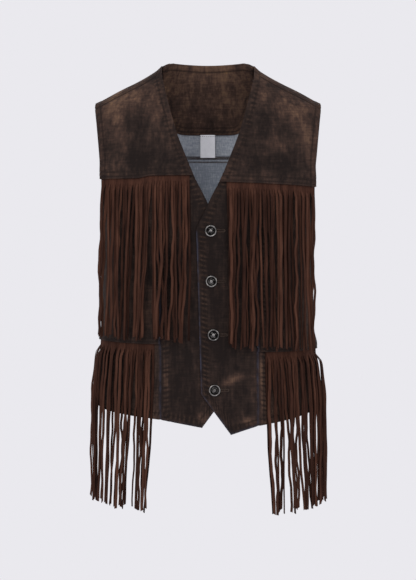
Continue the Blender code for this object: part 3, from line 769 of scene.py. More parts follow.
class Graph(Nodes):
    """The node graph of one material."""

    def __init__(self, name: str) -> None:
        """Starts a material with its shader."""
        self.material = bpy.data.materials.new(name)
        self.material.use_nodes = True
        super().__init__(self.material.node_tree)
        self.shader = self.tree.nodes["Principled BSDF"]

    def value(self, kind: str, settings: dict, sockets: dict[str | int, Source], output: int = 0) -> Value:
        """Adds a node and wraps one of its outputs."""
        return Value(self, self.node(kind, settings, sockets).outputs[output])

    def place(self, scale: tuple[float, float, float]) -> Socket:
        """Object coordinates, stretched."""
        spot = self.node("ShaderNodeTexCoord", {}, {}).outputs["Object"]
        return self.node("ShaderNodeMapping", {}, {"Vector": spot, "Scale": scale}).outputs["Vector"]

    def noise(self, scale: float, detail: float = 3.0, rough: float = 0.55, stretch: tuple = (1.0, 1.0, 1.0)) -> Value:
        """Cloudy noise.

        Args:
            scale: Clouds in a metre.
            detail: How many finer layers it has.
            rough: The weight of the finer layers.
            stretch: Scale along each axis.

        Returns:
            The noise, about 0.5 in the mean.
        """
        sockets = {"Vector": self.place(stretch), "Scale": scale, "Detail": detail, "Roughness": rough}
        return self.value("ShaderNodeTexNoise", {}, sockets)

    def height(self) -> Value:
        """Height above the frame's origin, in metres."""
        spot = self.place((1.0, 1.0, 1.0))
        return self.value("ShaderNodeSeparateXYZ", {}, {"Vector": spot}, output=2)

    def attribute(self, name: str) -> Value:
        """A number stored on the mesh."""
        return self.value("ShaderNodeAttribute", {"attribute_name": name}, {}, output=2)

    def cloth(self) -> tuple[Value, Value]:
        """Lengths across and along the cloth, in metres."""
        spot = self.node("ShaderNodeUVMap", {"uv_map": "cloth"}, {}).outputs["UV"]
        parts = self.node("ShaderNodeSeparateXYZ", {}, {"Vector": spot})
        return Value(self, parts.outputs["X"]), Value(self, parts.outputs["Y"])

    def ramp(self, fac: Value, stops: Sequence[tuple[float, tuple]]) -> Socket:
        """Colours along a value.

        Args:
            fac: The value.
            stops: Places and colours.

        Returns:
            The colour output.
        """
        node = self.node("ShaderNodeValToRGB", {}, {"Fac": fac})
        band = node.color_ramp
        while len(band.elements) < len(stops):
            band.elements.new(0.5)
        for element, (place, colour) in zip(band.elements, stops):
            element.position = place
            element.color = colour
        return node.outputs["Color"]

    def mix(self, fac: Source, a: Source, b: Source) -> Socket:
        """A mix of two colours."""
        return self.node("ShaderNodeMix", {"data_type": "RGBA"}, {0: fac, 6: a, 7: b}).outputs[2]

    def bump(self, height: Value, strength: float, distance: float) -> None:
        """Feeds a height to the shader's normal."""
        sockets = {"Height": height, "Strength": strength, "Distance": distance}
        self.feed(self.shader.inputs["Normal"], self.node("ShaderNodeBump", {}, sockets).outputs["Normal"])

    def surface(self, **values: Source) -> None:
        """Sets the shader's inputs by name, with underscores for spaces."""
        for key, value in values.items():
            self.feed(self.shader.inputs[key.replace("_", " ")], value)


@dataclass(frozen=True)
class CoatedDenim:
    """The brown outer face: a mottled coating over twill, worn on ridges and folded edges, with painted shade in stitch
    grooves and seam dips.
    """

    deep: tuple = linear(27, 20, 18)
    dark: tuple = linear(42, 32, 28)
    middle: tuple = linear(63, 47, 40)
    light: tuple = linear(92, 70, 56)
    tan: tuple = linear(118, 90, 63)
    blue: tuple = linear(70, 72, 88)
    twill: float = 0.00095
    pucker: float = 0.0076
    roughness: float = 0.82

    def material(self) -> Finish:
        """The finished material."""
        g = Graph("coated_denim_face")
        across, along = g.cloth()
        clouds = g.noise(15, 3, 0.6, (1.0, 1.0, 0.6))
        brushed = g.noise(60, 3, 0.6, (1.0, 1.0, 0.3))
        smudges = g.noise(110, 4, 0.62, (1.0, 1.0, 0.7))
        streaks = g.noise(300, 2, 0.5, (1.0, 1.0, 0.08))
        wefts = g.noise(420, 2, 0.5, (0.12, 0.12, 1.0))
        grain = g.noise(1500, 2, 0.6)
        tone = 0.42 + (clouds - 0.5) * 0.7 + (brushed - 0.5) * 0.6 + (smudges - 0.5) * 0.6 + (streaks - 0.5) * 0.4
        # Stored tone: stains on the coating and a set lightness for each panel
        tone = tone + (wefts - 0.5) * 0.34 + (grain - 0.5) * 0.26 + g.attribute("tone_and_shade") * 0.2
        stops = [(0.08, self.deep), (0.3, self.dark), (0.52, self.middle), (0.76, self.light), (1.0, self.tan)]
        colour = g.ramp(tone.clamped(), stops)
        sway_up, sway_level = (g.noise(80, 2, 0.5, s) - 0.5 for s in ((0.1, 0.1, 1.0), (1.0, 1.0, 0.1)))
        turns = 2 * math.pi / self.pucker
        patches = 0.4 + g.noise(48, 2).between(0.36, 0.62) * 0.6
        up, level = g.attribute("hem_up"), g.attribute("hem_across")
        ropes_up = (g.height() * turns + across * (turns * 0.2) + sway_up * 7.0).sine() * up
        ropes_level = (across * turns + along * (turns * 0.3) + sway_level * 7.0).sine() * level
        ropes = (ropes_up + ropes_level) * patches
        colour = g.mix((ropes * 0.36).clamped(), colour, self.light)
        colour = g.mix((ropes * -1.3).clamped(), colour, self.deep)
        # Painted shade: stitch grooves and seam dips are darkened towards the deepest brown
        groove_and_shade = g.attribute("groove_and_shade")
        colour = g.mix(groove_and_shade * 0.75, colour, self.deep)
        rubbed = 0.3 + g.noise(140, 3, 0.6, (1.0, 1.0, 0.4)).between(0.38, 0.66) * 0.7
        worn = (g.attribute("worn") * rubbed).clamped()
        colour = g.mix(worn * 0.6, colour, self.blue)
        lines = ((across + along * 0.8) * (2 * math.pi / self.twill)).sine()
        height = lines * 0.25 + grain * 0.5 + smudges * 0.5 + ropes * 1.6
        g.surface(Base_Color=colour, Roughness=self.roughness + (smudges - 0.5) * 0.2)
        g.surface(Specular_IOR_Level=0.1, Sheen_Weight=0.02, Sheen_Roughness=0.5, Sheen_Tint=self.light)
        g.bump(height, 0.6, 0.00025)
        return g.material


@dataclass(frozen=True)
class DenimReverse:
    """The grey-blue inner face of the denim, with its twill, and painted shade inside the back: lighter on the yoke,
    darker on the body below it.
    """

    pale: tuple = linear(186, 190, 196)
    blue: tuple = linear(128, 134, 143)
    twill: float = 0.0012
    roughness: float = 0.9

    def material(self) -> Finish:
        """The finished material."""
        g = Graph("denim_reverse")
        across, along = g.cloth()
        fleck = g.noise(700, 2, 0.6, (1.0, 1.0, 0.16))
        weft = g.noise(560, 2, 0.6, (0.12, 0.12, 1.0))
        clouds = g.noise(22, 3)
        lines = ((across - along * 0.9) * (2 * math.pi / self.twill)).sine()
        tone = 0.42 + lines * 0.16 + (fleck - 0.5) * 1.5 + (weft - 0.5) * 1.1 + (clouds - 0.5) * 0.6
        # Painted shade: the stored tone lightens the back yoke's reverse and darkens the back body's reverse
        tone = tone + g.attribute("tone_and_shade") * 0.75
        g.surface(Base_Color=g.mix(tone.clamped(), self.blue, self.pale), Roughness=self.roughness)
        g.surface(Specular_IOR_Level=0.1)
        g.bump(lines * 0.5 + fleck, 0.5, 0.0002)
        return g.material


@dataclass(frozen=True)
class Suede:
    """Reddish brown suede with a short nap, each strand a little different, with painted shade along each strand's
    edges.
    """

    dark: tuple = linear(32, 19, 15)
    middle: tuple = linear(58, 36, 28)
    light: tuple = linear(84, 55, 43)
    roughness: float = 0.95

    def material(self) -> Finish:
        """The finished material."""
        g = Graph("suede_nap")
        nap = g.noise(1300, 3, 0.65, (1.0, 1.0, 0.5))
        drift = g.noise(38, 3, 0.6, (1.6, 1.6, 0.5))
        fibres = g.noise(520, 2, 0.6, (1.0, 1.0, 0.05))
        tone = 0.51 + g.attribute("strand_tone") * 0.3 + (drift - 0.5) * 0.8 + (nap - 0.5) * 0.3
        # Painted shade: strands are darkened along their edges
        tone = tone + (fibres - 0.5) * 0.7 - g.attribute("strand_edge_shade") * 0.28
        colour = g.ramp(tone.clamped(), [(0.08, self.dark), (0.5, self.middle), (0.95, self.light)])
        g.surface(Base_Color=colour, Roughness=self.roughness - nap * 0.08)
        g.surface(Specular_IOR_Level=0.06, Sheen_Weight=0.03, Sheen_Roughness=0.45, Sheen_Tint=self.light)
        g.bump(nap, 0.6, 0.00025)
        return g.material


@dataclass(frozen=True)
class Thread:
    """Tonal sewing thread with a soft gloss."""

    name: str
    dark: tuple
    light: tuple
    roughness: float = 0.6

    def material(self) -> Finish:
        """The finished material."""
        g = Graph(self.name)
        twist = g.noise(1700, 2)
        shade = g.noise(70, 2)
        tone = (0.5 + (twist - 0.5) * 0.8 + (shade - 0.5) * 0.9).clamped()
        g.surface(Base_Color=g.mix(tone, self.dark, self.light), Roughness=self.roughness, Specular_IOR_Level=0.12)
        g.bump(twist, 0.4, 0.0001)
        return g.material


@dataclass(frozen=True)
class AgedMetal:
    """Polished button metal, dark in its hollows, with dark reflections painted in as blots and specks."""

    bright: tuple = linear(134, 131, 128)
    dark: tuple = linear(15, 14, 14)
    roughness: float = 0.16

    def material(self) -> Finish:
        """The finished material."""
        g = Graph("aged_metal")
        specks = g.noise(900, 3, 0.6)
        # Painted reflection: dark blots and specks in the colour stand in for the dark reflections of polished metal
        reflection_blots = g.noise(210, 2, 0.5).between(0.4, 0.62)
        hollow = g.attribute("hollow")
        hollow_and_painted_reflection = (hollow * 0.95 + reflection_blots * 0.6 + specks.between(0.62, 0.8) * 0.2).clamped()
        g.surface(Base_Color=g.mix(hollow_and_painted_reflection, self.bright, self.dark), Metallic=1.0)
        g.surface(Roughness=self.roughness + hollow * 0.2 + (specks - 0.5) * 0.15)
        g.bump(specks, 0.15, 0.0001)
        return g.material


@dataclass(frozen=True)
class LabelCloth:
    """Off-white woven label cloth."""

    pale: tuple = linear(250, 250, 252)
    grey: tuple = linear(226, 226, 231)
    rib: float = 0.0007
    roughness: float = 0.7

    def material(self) -> Finish:
        """The finished material."""
        g = Graph("label_weave")
        across, along = g.cloth()
        ribs = (along * (2 * math.pi / self.rib)).sine() * (across * (2 * math.pi / self.rib)).sine()
        tone = (0.55 + ribs * 0.2 + (g.noise(160, 3) - 0.5) * 0.8).clamped()
        g.surface(Base_Color=g.mix(tone, self.grey, self.pale), Roughness=self.roughness)
        g.bump(ribs, 0.4, 0.0001)
        return g.material


@dataclass(frozen=True)
class Wardrobe:
    """The finishes, made once."""

    face: Finish = field(default_factory=CoatedDenim().material)
    reverse: Finish = field(default_factory=DenimReverse().material)
    suede: Finish = field(default_factory=Suede().material)
    thread: Finish = field(default_factory=Thread("brown_thread", linear(27, 20, 18), linear(54, 41, 35)).material)
    overlock: Finish = field(default_factory=Thread("overlock_thread", linear(30, 24, 22), linear(84, 68, 58)).material)
    metal: Finish = field(default_factory=AgedMetal().material)
    label: Finish = field(default_factory=LabelCloth().material)


@dataclass
class Shell:
    """A closed wall between two grids of points."""

    name: str
    outer: Grid
    inner: Grid
    filled: Grid
    bulge: Grid
    rings: int = 3
    attributes: dict[str, Grid] = field(default_factory=dict)
    inner_slot: Grid | None = None

    def _cells(self) -> Grid:
        """The four corner numbers of every filled cell."""
        rows, columns = np.nonzero(self.filled)
        width = self.outer.shape[1]
        first = rows * width + columns
        return np.stack([first, first + 1, first + width + 1, first + width], -1)

    def _rim(self, cells: Grid) -> Grid:
        """The directed edges that only one filled cell has."""
        edges = np.concatenate([cells[:, [i, (i + 1) % 4]] for i in range(4)])
        known = set(map(tuple, edges.tolist()))
        return np.array([e for e in edges.tolist() if (e[1], e[0]) not in known])

    def _outwards(self, cells: Grid) -> Grid:
        """Directions along the cloth, away from the filled cells."""
        points = ((self.outer + self.inner) / 2).reshape(-1, 3)
        total, count = np.zeros(points.shape), np.zeros(len(points))
        middles = points[cells].mean(1)
        for corner in range(4):
            np.add.at(total, cells[:, corner], middles)
            np.add.at(count, cells[:, corner], 1)
        away = points - total / np.maximum(count, 1)[:, None]
        through = unit((self.outer - self.inner).reshape(-1, 3))
        away -= through * (away * through).sum(1, keepdims=True)
        return unit(away)

    def _lengths(self) -> Grid:
        """Lengths across and along the cloth at every place, in metres."""
        lengths = []
        for axis in (1, 0):
            steps = np.diff(self.outer, axis=axis, prepend=self.outer.take([0], axis))
            lengths.append(np.cumsum(np.linalg.norm(steps, axis=-1), axis=axis))
        return np.stack(lengths, -1).reshape(-1, 2) * MM

    def _wall(self) -> tuple[Grid, Grid, Grid, Grid]:
        """The points, the faces, the grid place of each point, and the material number of each face."""
        outer, inner = self.outer.reshape(-1, 3), self.inner.reshape(-1, 3)
        count = len(outer)
        cells = self._cells()
        rim = self._rim(cells)
        away = self._outwards(cells)
        border = np.unique(rim)
        number = np.full(count, -1)
        number[border] = np.arange(len(border))
        middle, half = (outer + inner) / 2, (outer - inner) / 2
        thick = np.linalg.norm(half, axis=1) * self.bulge.reshape(-1)
        points = [outer, inner]
        for ring in range(1, self.rings + 1):
            angle = math.pi * ring / (self.rings + 1)
            bow = away * (thick * math.sin(angle))[:, None]
            points.append((middle + half * math.cos(angle) + bow)[border])
        source = np.concatenate([np.arange(count)] * 2 + [border] * self.rings)
        layers = [rim]
        layers += [2 * count + ring * len(border) + number[rim] for ring in range(self.rings)]
        layers.append(rim + count)
        faces = [cells, cells[:, ::-1] + count]
        for high, low in zip(layers, layers[1:]):
            faces.append(np.stack([high[:, 1], high[:, 0], low[:, 0], low[:, 1]], -1))
        slots = np.zeros(sum(len(f) for f in faces), int)
        if self.inner_slot is not None:
            slots[len(cells):2 * len(cells)] = self.inner_slot.reshape(-1)[cells].min(1)
        return np.concatenate(points), np.concatenate(faces), source, slots

    def build(self, *materials: Finish) -> Piece:
        """Makes the object, with its lengths, stored numbers and slots.

        Args:
            materials: The outer face's material, and the inner one's if it differs.

        Returns:
            The object, at the origin.
        """
        points, faces, source, slots = self._wall()
        used = np.unique(faces)
        number = np.zeros(len(points), int)
        number[used] = np.arange(len(used))
        faces, points, source = number[faces], points[used], source[used]
        a, b, c, d = (points[faces[:, i]] for i in range(4))
        volume = (a * np.cross(b, c)).sum() + (a * np.cross(c, d)).sum()
        if volume < 0:
            faces = faces[:, ::-1]
        mesh = bpy.data.meshes.new(self.name)
        mesh.from_pydata((points * MM).tolist(), [], faces.tolist())
        lengths = self._lengths()[source]
        layer = mesh.uv_layers.new(name="cloth")
        layer.data.foreach_set("uv", lengths[faces.reshape(-1)].reshape(-1).astype(np.float32))
        for name, values in self.attributes.items():
            stored = mesh.attributes.new(name, "FLOAT", "POINT")
            stored.data.foreach_set("value", values.reshape(-1)[source].astype(np.float32))
        for material in materials:
            mesh.materials.append(material)
        mesh.polygons.foreach_set("material_index", slots.astype(np.int32))
        mesh.shade_smooth()
        return place_object(self.name, mesh)


@dataclass
class Border:
    """One side of a panel: its finish, its places in the grid, and the way into the panel."""

    kind: EdgeKind
    places: list[Place]
    inward: Place
    upright: bool
    worn: float = 0.0
    worn_below: float = math.inf
    rope: float = 0.0
    form: EdgeForm | None = None
    gap: Grid = field(init=False)

    def __post_init__(self) -> None:
        """Takes the usual form of its kind."""
        self.form = self.form or self.kind.value


@dataclass
class StitchRow:
    """A row of stitches: its points, the cloth's outward direction and the way each stitch lies."""

    points: Grid
    out: Grid
    lay: Grid


def along_row(points: Grid, out: Grid) -> StitchRow:
    """A row whose stitches lie along it."""
    return StitchRow(points, out, np.gradient(points, axis=0))


@dataclass(frozen=True)
class Cut:
    """The flat cut of a panel in metres: width, length and area."""

    width: float
    length: float
    area: float


def square_sides(grid: Grid) -> dict[str, tuple[list[Place], Place, bool]]:
    """The four sides of a grid: the places along each, the way in, and whether it stands upright."""
    rows, columns = grid.shape[:2]
    return {
        "bottom": ([(0, c) for c in range(columns)], (1, 0), False),
        "top": ([(rows - 1, c) for c in range(columns)], (-1, 0), False),
        "left": ([(r, 0) for r in range(rows)], (0, 1), True),
        "right": ([(r, columns - 1) for r in range(rows)], (0, -1), True),
    }


@dataclass
class Panel:
    """A piece of cloth on the figure."""

    name: str
    base: Grid
    rise: Grid | float
    borders: list[Border]
    cut: Cut
    filled: Grid | None = None
    # How much lighter or darker the panel is set; on the back's reverse this is painted shade
    tone_and_shade: float = 0.0
    outer: Grid = field(init=False)
    inner: Grid = field(init=False)
    out: Grid = field(init=False)

    def __post_init__(self) -> None:
        """Measures the borders and forms both faces."""
        if self.filled is None:
            self.filled = all_cells(self.base)
        for border in self.borders:
            border.gap = line_gap(self.base, np.array([self.base[place] for place in border.places]))
        self._form()

    def _band(self, border: Border) -> Grid:
        """1 on a border's raised band, 0 away from it."""
        form = border.form
        return 1 - ease((border.gap - form.band) / BAND_FADE) if form.band else np.zeros(border.gap.shape)

    def _form(self) -> None:
        """Forms the outer and inner face."""
        swell, inside, sunk = (np.zeros(self.base.shape[:2]) for _ in range(3))
        for border in self.borders:
            form = border.form
            raised = form.swell * self._band(border)
            swell = np.maximum(swell, raised)
            inside = np.maximum(inside, raised if form.turned else 0.0)
            sunk += form.dip * np.exp(-((border.gap / DIP_HALF) ** 2))
            for row in form.rows:
                sunk += GROOVE * np.exp(-(((border.gap - row) / GROOVE_HALF) ** 2))
        self.out = FIGURE.normals(self.base)
        self.outer = FIGURE.off(self.base, self.rise + CLOTH + swell - sunk)
        self.inner = FIGURE.off(self.base, self.rise - inside)

    def _stored(self) -> dict[str, Grid]:
        """The numbers that the finish reads."""
        shape = self.base.shape[:2]
        stored = {name: np.zeros(shape) for name in ("hem_up", "hem_across", "groove_and_shade", "worn")}
        # Each panel's set tone plus the fronts' stains; the reverse reads it as painted shade
        stored["tone_and_shade"] = np.full(shape, self.tone_and_shade)
        x, y, z = np.moveaxis(self.base, -1, 0)
        for border in self.borders:
            key = "hem_up" if border.upright else "hem_across"
            middle = border.form.band or 1.0
            rope = np.exp(-(((border.gap / middle - ROPE_PLACE) / ROPE_HALF) ** 2))
            stored[key] = np.maximum(stored[key], border.rope * rope)
            # Painted shade along the stitch rows and seam dips, which the face darkens
            lines = [(row, GROOVE_SHADE) for row in border.form.rows]
            for row, half in lines + [(0.0, DIP_SHADE)] * bool(border.form.dip):
                line = np.exp(-(((border.gap - row) / half) ** 2))
                stored["groove_and_shade"] = np.maximum(stored["groove_and_shade"], line)
            worn = ease((border.worn_below - z) / WORN_FADE) * np.exp(-((border.gap / WORN_HALF) ** 2))
            stored["worn"] = np.maximum(stored["worn"], border.worn * worn)
        for stain in STAINS:
            cloud = ((x - stain.across) / stain.half_across) ** 2 + ((z - stain.height) / stain.half_along) ** 2
            stored["tone_and_shade"] += np.where(y < 0, stain.strength * np.exp(-cloud), 0.0)
        return stored

    def shell(self) -> Shell:
        """The panel's wall, with the edges' rounding and the turned-in hems."""
        bulge = np.full(self.base.shape[:2], BULGE)
        turned = np.full(self.base.shape[:2], np.inf)
        for border in self.borders:
            for place in border.places:
                bulge[place] = min(bulge[place], border.form.bulge)
            if border.form.turned:
                turned = np.minimum(turned, border.gap / border.form.turned)
        slots = (turned > 1.0).astype(int)
        return Shell(f"{self.name}_cloth", self.outer, self.inner, self.filled, bulge, 3, self._stored(), slots)

    def stitch_rows(self) -> list[StitchRow]:
        """The topstitching along all borders."""
        rows = [self.inset_row(border, inset) for border in self.borders for inset in border.form.rows]
        return [row for row in rows if row is not None]

    def _inwards(self, place: Place, way: Place) -> Iterator[Place]:
        """The places from a border's place to the panel's far side."""
        rows, columns = self.base.shape[:2]
        while 0 <= place[0] < rows and 0 <= place[1] < columns:
            yield place
            place = (place[0] + way[0], place[1] + way[1])

    def inset_row(self, border: Border, inset: float, inside: bool = False) -> StitchRow | None:
        """A row that follows a border at a distance.

        Args:
            border: The border.
            inset: How far inside the border the row lies.
            inside: Whether it lies on the inner face.

        Returns:
            The row, or None where the panel has no room for it.
        """
        limits = [
            (b.gap, b.form.rows[0] - ROW_SPARE if b.kind is border.kind is EdgeKind.HEM else ROW_END)
            for b in self.borders
            if b is not border
        ]
        points, outs = [], []
        face = self.inner if inside else self.outer
        for place in border.places:
            line = list(self._inwards(place, border.inward))
            found = next((two for two in zip(line, line[1:]) if border.gap[two[1]] >= inset), None)
            if found is None or any(gap[found[1]] < limit for gap, limit in limits):
                continue
            before, here = found
            span = max(border.gap[here] - border.gap[before], 1e-6)
            share = min(max((inset - border.gap[before]) / span, 0.0), 1.0)
            points.append(blend(face[before], face[here], share))
            outs.append(-self.out[here] if inside else self.out[here])
        if len(points) < FEWEST:
            return None
        return along_row(np.array(points), np.array(outs))


@dataclass(frozen=True)
class Stitch:
    """Sizes of a stitch in millimetres."""

    pitch: float
    length: float
    width: float
    height: float


TOPSTITCH = Stitch(3.3, 2.7, 0.62, 0.55)
SATIN = Stitch(0.75, 2.6, 0.6, 0.6)
OVERLOCK = Stitch(1.3, 7.8, 1.15, 0.9)
SEAM_LINE = Stitch(2.2, 2.3, 1.5, 0.7)


class Sewing(Nodes):
    """Turns stitch rows into meshes, by Geometry Nodes that lay a stitch at even steps along them."""

    SIZES = ("Pitch", "Length", "Width", "Height")

    def __init__(self) -> None:
        """Builds the shared nodes."""
        super().__init__(bpy.data.node_groups.new("stitch_rows", "GeometryNodeTree"))
        kinds = {"Geometry": "Geometry", **dict.fromkeys(self.SIZES, "Float"), "Thread": "Material"}
        self.keys = {name: self._socket(name, "INPUT", kind) for name, kind in kinds.items()}
        self._socket("Geometry", "OUTPUT", "Geometry")
        self._wire()

    def _socket(self, name: str, way: str, kind: str) -> str:
        """Adds a socket of the tree and gives its key."""
        return self.tree.interface.new_socket(name, in_out=way, socket_type=f"NodeSocket{kind}").identifier

    def _step(self, kind: str, settings: dict, **sockets: Source) -> Socket:
        """Adds a node and gives its first output."""
        return self.node(kind, settings, sockets).outputs[0]

    def _wire(self) -> None:
        """Joins the nodes from the rows to the finished stitches."""
        start = self.node("NodeGroupInput", {}, {}).outputs
        curve = self._step("GeometryNodeMeshToCurve", {}, Mesh=start["Geometry"])
        even = self._step("GeometryNodeResampleCurve", {"mode": "LENGTH"}, Curve=curve, Length=start["Pitch"])
        vector = {"data_type": "FLOAT_VECTOR"}
        lay, out = (self._step("GeometryNodeInputNamedAttribute", vector, Name=name) for name in ("lay", "out"))
        align = "FunctionNodeAlignRotationToVector"
        turn = self._step(align, {"axis": "X"}, Vector=lay)
        turn = self._step(align, {"axis": "Z", "pivot_axis": "X"}, Rotation=turn, Vector=out)
        size = self._step("ShaderNodeCombineXYZ", {}, X=start["Length"], Y=start["Width"], Z=start["Height"])
        stitch = self._step("GeometryNodeMeshUVSphere", {}, Segments=6, Rings=4, Radius=0.5)
        made = self._step("GeometryNodeInstanceOnPoints", {}, Points=even, Instance=stitch, Rotation=turn, Scale=size)
        for kind in ("RealizeInstances", "SetShadeSmooth"):
            made = self._step(f"GeometryNode{kind}", {}, Geometry=made)
        made = self._step("GeometryNodeSetMaterial", {}, Geometry=made, Material=start["Thread"])
        self.node("NodeGroupOutput", {}, {"Geometry": made})

    def sew(self, name: str, rows: list[StitchRow], stitch: Stitch, thread: Finish) -> Piece:
        """Makes one piece of sewing.

        Args:
            name: The piece's name.
            rows: Its rows.
            stitch: The size of its stitches.
            thread: Its material.

        Returns:
            The piece as a plain mesh.
        """
        parts = zip(*((row.points, row.out, row.lay) for row in rows))
        points, outs, lays = (np.concatenate(part) for part in parts)
        starts = set(np.cumsum([len(row.points) for row in rows]).tolist())
        edges = [(i - 1, i) for i in range(1, len(points)) if i not in starts]
        rails = bpy.data.meshes.new(f"{name}_rows")
        rails.from_pydata((points * MM).tolist(), edges, [])
        for key, values in (("out", outs), ("lay", lays)):
            stored = rails.attributes.new(key, "FLOAT_VECTOR", "POINT")
            stored.data.foreach_set("vector", values.reshape(-1).astype(np.float32))
        guide = place_object(rails.name, rails)
        modifier = guide.modifiers.new("stitches", "NODES")
        modifier.node_group = self.tree
        for key, size in zip(self.SIZES, astuple(stitch)):
            modifier[self.keys[key]] = size * MM
        modifier[self.keys["Thread"]] = thread
        graph = bpy.context.evaluated_depsgraph_get()
        mesh = bpy.data.meshes.new_from_object(guide.evaluated_get(graph))
        mesh.name = name
        bpy.data.objects.remove(guide)
        return place_object(name, mesh)


class Front:
    """One front: yoke, centre, side and skirt."""

    def __init__(self, cut: FrontCut) -> None:
        """Forms the four panels."""
        self.cut = cut
        self.panels = [self._yoke(), self._centre(), self._side(), self._skirt()]

    def _seam_form(self, on_centre: bool) -> EdgeKind:
        """Whether the long seam's raised band lies on this piece."""
        return EdgeKind.FELL if on_centre == self.cut.band_on_centre else EdgeKind.SEAM

    def _neck_end(self, rise: float) -> float:
        """How far from the middle the neckline meets the yoke seam, or an edge a rise above it."""
        seam = self.cut.yoke
        return float(solve(lambda x: x < NECK_REACH(seam(x) + rise), np.array(0.0), np.array(60.0)))

    def _yoke(self) -> Panel:
        """The piece above the fringe, from the neckline to the armhole."""
        cut, seam = self.cut, self.cut.yoke
        ends = [float(FIGURE.ridge(reach)) - SHOULDER_SEAM_DROP for reach in (NECK_SIDE, SHOULDER_TIP)]
        bottom = run(self._neck_end(0.0), ARM_REACH.at(seam.at(SHOULDER_TIP)), seam)
        drop = SHOULDER_SEAM_DROP + SHOULDER_GAP / 2
        top = run(NECK_REACH.at(ends[0]), ARM_REACH.at(ends[1]), lambda x: FIGURE.ridge(x) - drop)
        up = graded(165, CELL)
        flat = patch((bottom, top, *uprights(bottom, top, NECK_REACH, ARM_REACH)), graded(135, CELL), up)
        base = FIGURE.front(cut.sign * flat[..., 0], flat[..., 1])
        sides = square_sides(base)
        borders = [
            Border(EdgeKind.LAP, *sides["bottom"], rope=0.25),
            Border(EdgeKind.SEAM, *sides["top"]),
            Border(EdgeKind.HEM, *sides["left"], rope=0.7),
            Border(EdgeKind.HEM, *sides["right"], rope=0.3),
        ]
        rise = YOKE_LAP.rise(up)[:, None]
        return Panel(f"front_yoke_{cut.side}", base, rise, borders, Cut(0.19, 0.215, 0.0245), tone_and_shade=-0.25)

    def _centre(self) -> Panel:
        """The piece between the free edge and the long seam, with the pointed hem."""
        cut, seam, half = self.cut, self.cut.yoke, SEAM_GAP / 2
        corner, point, hem = cut.edge_corner, cut.point, cut.princess_hem
        top_inner = self._neck_end(LAP)
        top_height = seam.at(top_inner) + LAP
        neck_share = (NECKLINE[0].height - corner.height) / (top_height - corner.height)
        stops = (0.0, 0.5, 1.0)

        def bottom(u: Grid) -> Grid:
            """The pointed hem."""
            reach = np.interp(u, stops, (corner.reach, point.reach, cut.princess(hem.height) - half))
            return pair(reach, np.interp(u, stops, (corner.height, point.height, hem.height)))

        top = run(top_inner, cut.princess_top - half, lambda x: seam(x) + LAP)
        left, right = uprights(bottom, top, cut.closing, lambda z: cut.princess(z) - half)
        across, up = graded(100, CELL, stops[1:2]), graded(380, CELL, [neck_share])
        flat = patch((bottom, top, left, right), across, up)
        base = FIGURE.front(cut.sign * flat[..., 0], flat[..., 1])
        sides = square_sides(base)
        worn = 0.9 if cut.sign > 0 else 0.35
        borders = [
            Border(EdgeKind.HEM, *sides["bottom"], worn=0.8 * worn, rope=0.7),
            Border(EdgeKind.UNDER, *sides["top"]),
            Border(EdgeKind.HEM, *sides["left"], worn=worn, worn_below=NECKLINE[0].height, rope=1.0),
            Border(self._seam_form(True), *sides["right"], worn=0.7, rope=0.8),
        ]
        rise = cut.closing_lift(base[..., 0], base[..., 2])
        return Panel(f"front_centre_{cut.side}", base, rise, borders, Cut(0.15, 0.44, 0.045), tone_and_shade=-1.15)

    def _side(self) -> Panel:
        """The piece from the long seam to the side seam, between the yoke and the lower fringe."""
        cut, seam, corner = self.cut, self.cut.yoke, 0.5
        arm_top = seam.at(SHOULDER_TIP) + LAP
        armhole = armhole_edge(arm_top)

        def top(u: Grid) -> Grid:
            """The edge under the yoke, then the armhole."""
            x = blend(cut.princess_top + SEAM_GAP / 2, ARM_REACH.at(arm_top), np.minimum(u / corner, 1.0))
            z = seam(x) + LAP
            arm = armhole(np.maximum((u - corner) / (1 - corner), 0.0))
            return np.where((u > corner)[:, None], arm, pair(FIGURE.turn(x, z), z))

        bottom = cut.waist_edge()
        left, right = uprights(bottom, top, cut.princess_turn, FIGURE.side_turn)
        across, up = graded(140, CELL, [corner]), graded(255, CELL)
        flat = patch((bottom, top, left, right), across, up)
        base = FIGURE.ring(cut.sign * flat[..., 0], flat[..., 1])
        sides = square_sides(base)
        places, inward, _ = sides["top"]
        split = int(np.argmin(np.abs(across - corner)))
        borders = [
            Border(EdgeKind.LAP, *sides["bottom"], rope=0.3),
            Border(EdgeKind.UNDER, places[:split + 1], inward, False),
            Border(EdgeKind.HEM, places[split:], inward, True, rope=0.3),
            Border(self._seam_form(False), *sides["left"], worn=0.7, rope=0.8),
            Border(EdgeKind.SEAM, *sides["right"]),
        ]
        rise = WAIST_LAP.rise(up)[:, None]
        return Panel(f"front_side_{cut.side}", base, rise, borders, Cut(0.155, 0.29, 0.034), tone_and_shade=-0.5)

    def _skirt(self) -> Panel:
        """The piece below the lower fringe, from the long seam to the side seam."""
        cut = self.cut

        def bottom(u: Grid) -> Grid:
            """The hem."""
            z = blend(cut.princess_hem.height, SIDE_HEM, u)
            return pair(blend(cut.princess_turn(z), FIGURE.side_turn(z), u), z)

        top = cut.waist_edge(LAP)
        left, right = uprights(bottom, top, cut.princess_turn, FIGURE.side_turn)
        flat = patch((bottom, top, left, right), graded(140, CELL), graded(115, CELL))
        base = FIGURE.ring(cut.sign * flat[..., 0], flat[..., 1])
        sides = square_sides(base)
        borders = [
            Border(EdgeKind.HEM, *sides["bottom"], rope=0.7),
            Border(EdgeKind.UNDER, *sides["top"]),
            Border(self._seam_form(False), *sides["left"], worn=0.7, rope=0.8),
            Border(EdgeKind.SEAM, *sides["right"]),
        ]
        return Panel(f"front_skirt_{cut.side}", base, 0.0, borders, Cut(0.165, 0.145, 0.0195), tone_and_shade=-0.4)


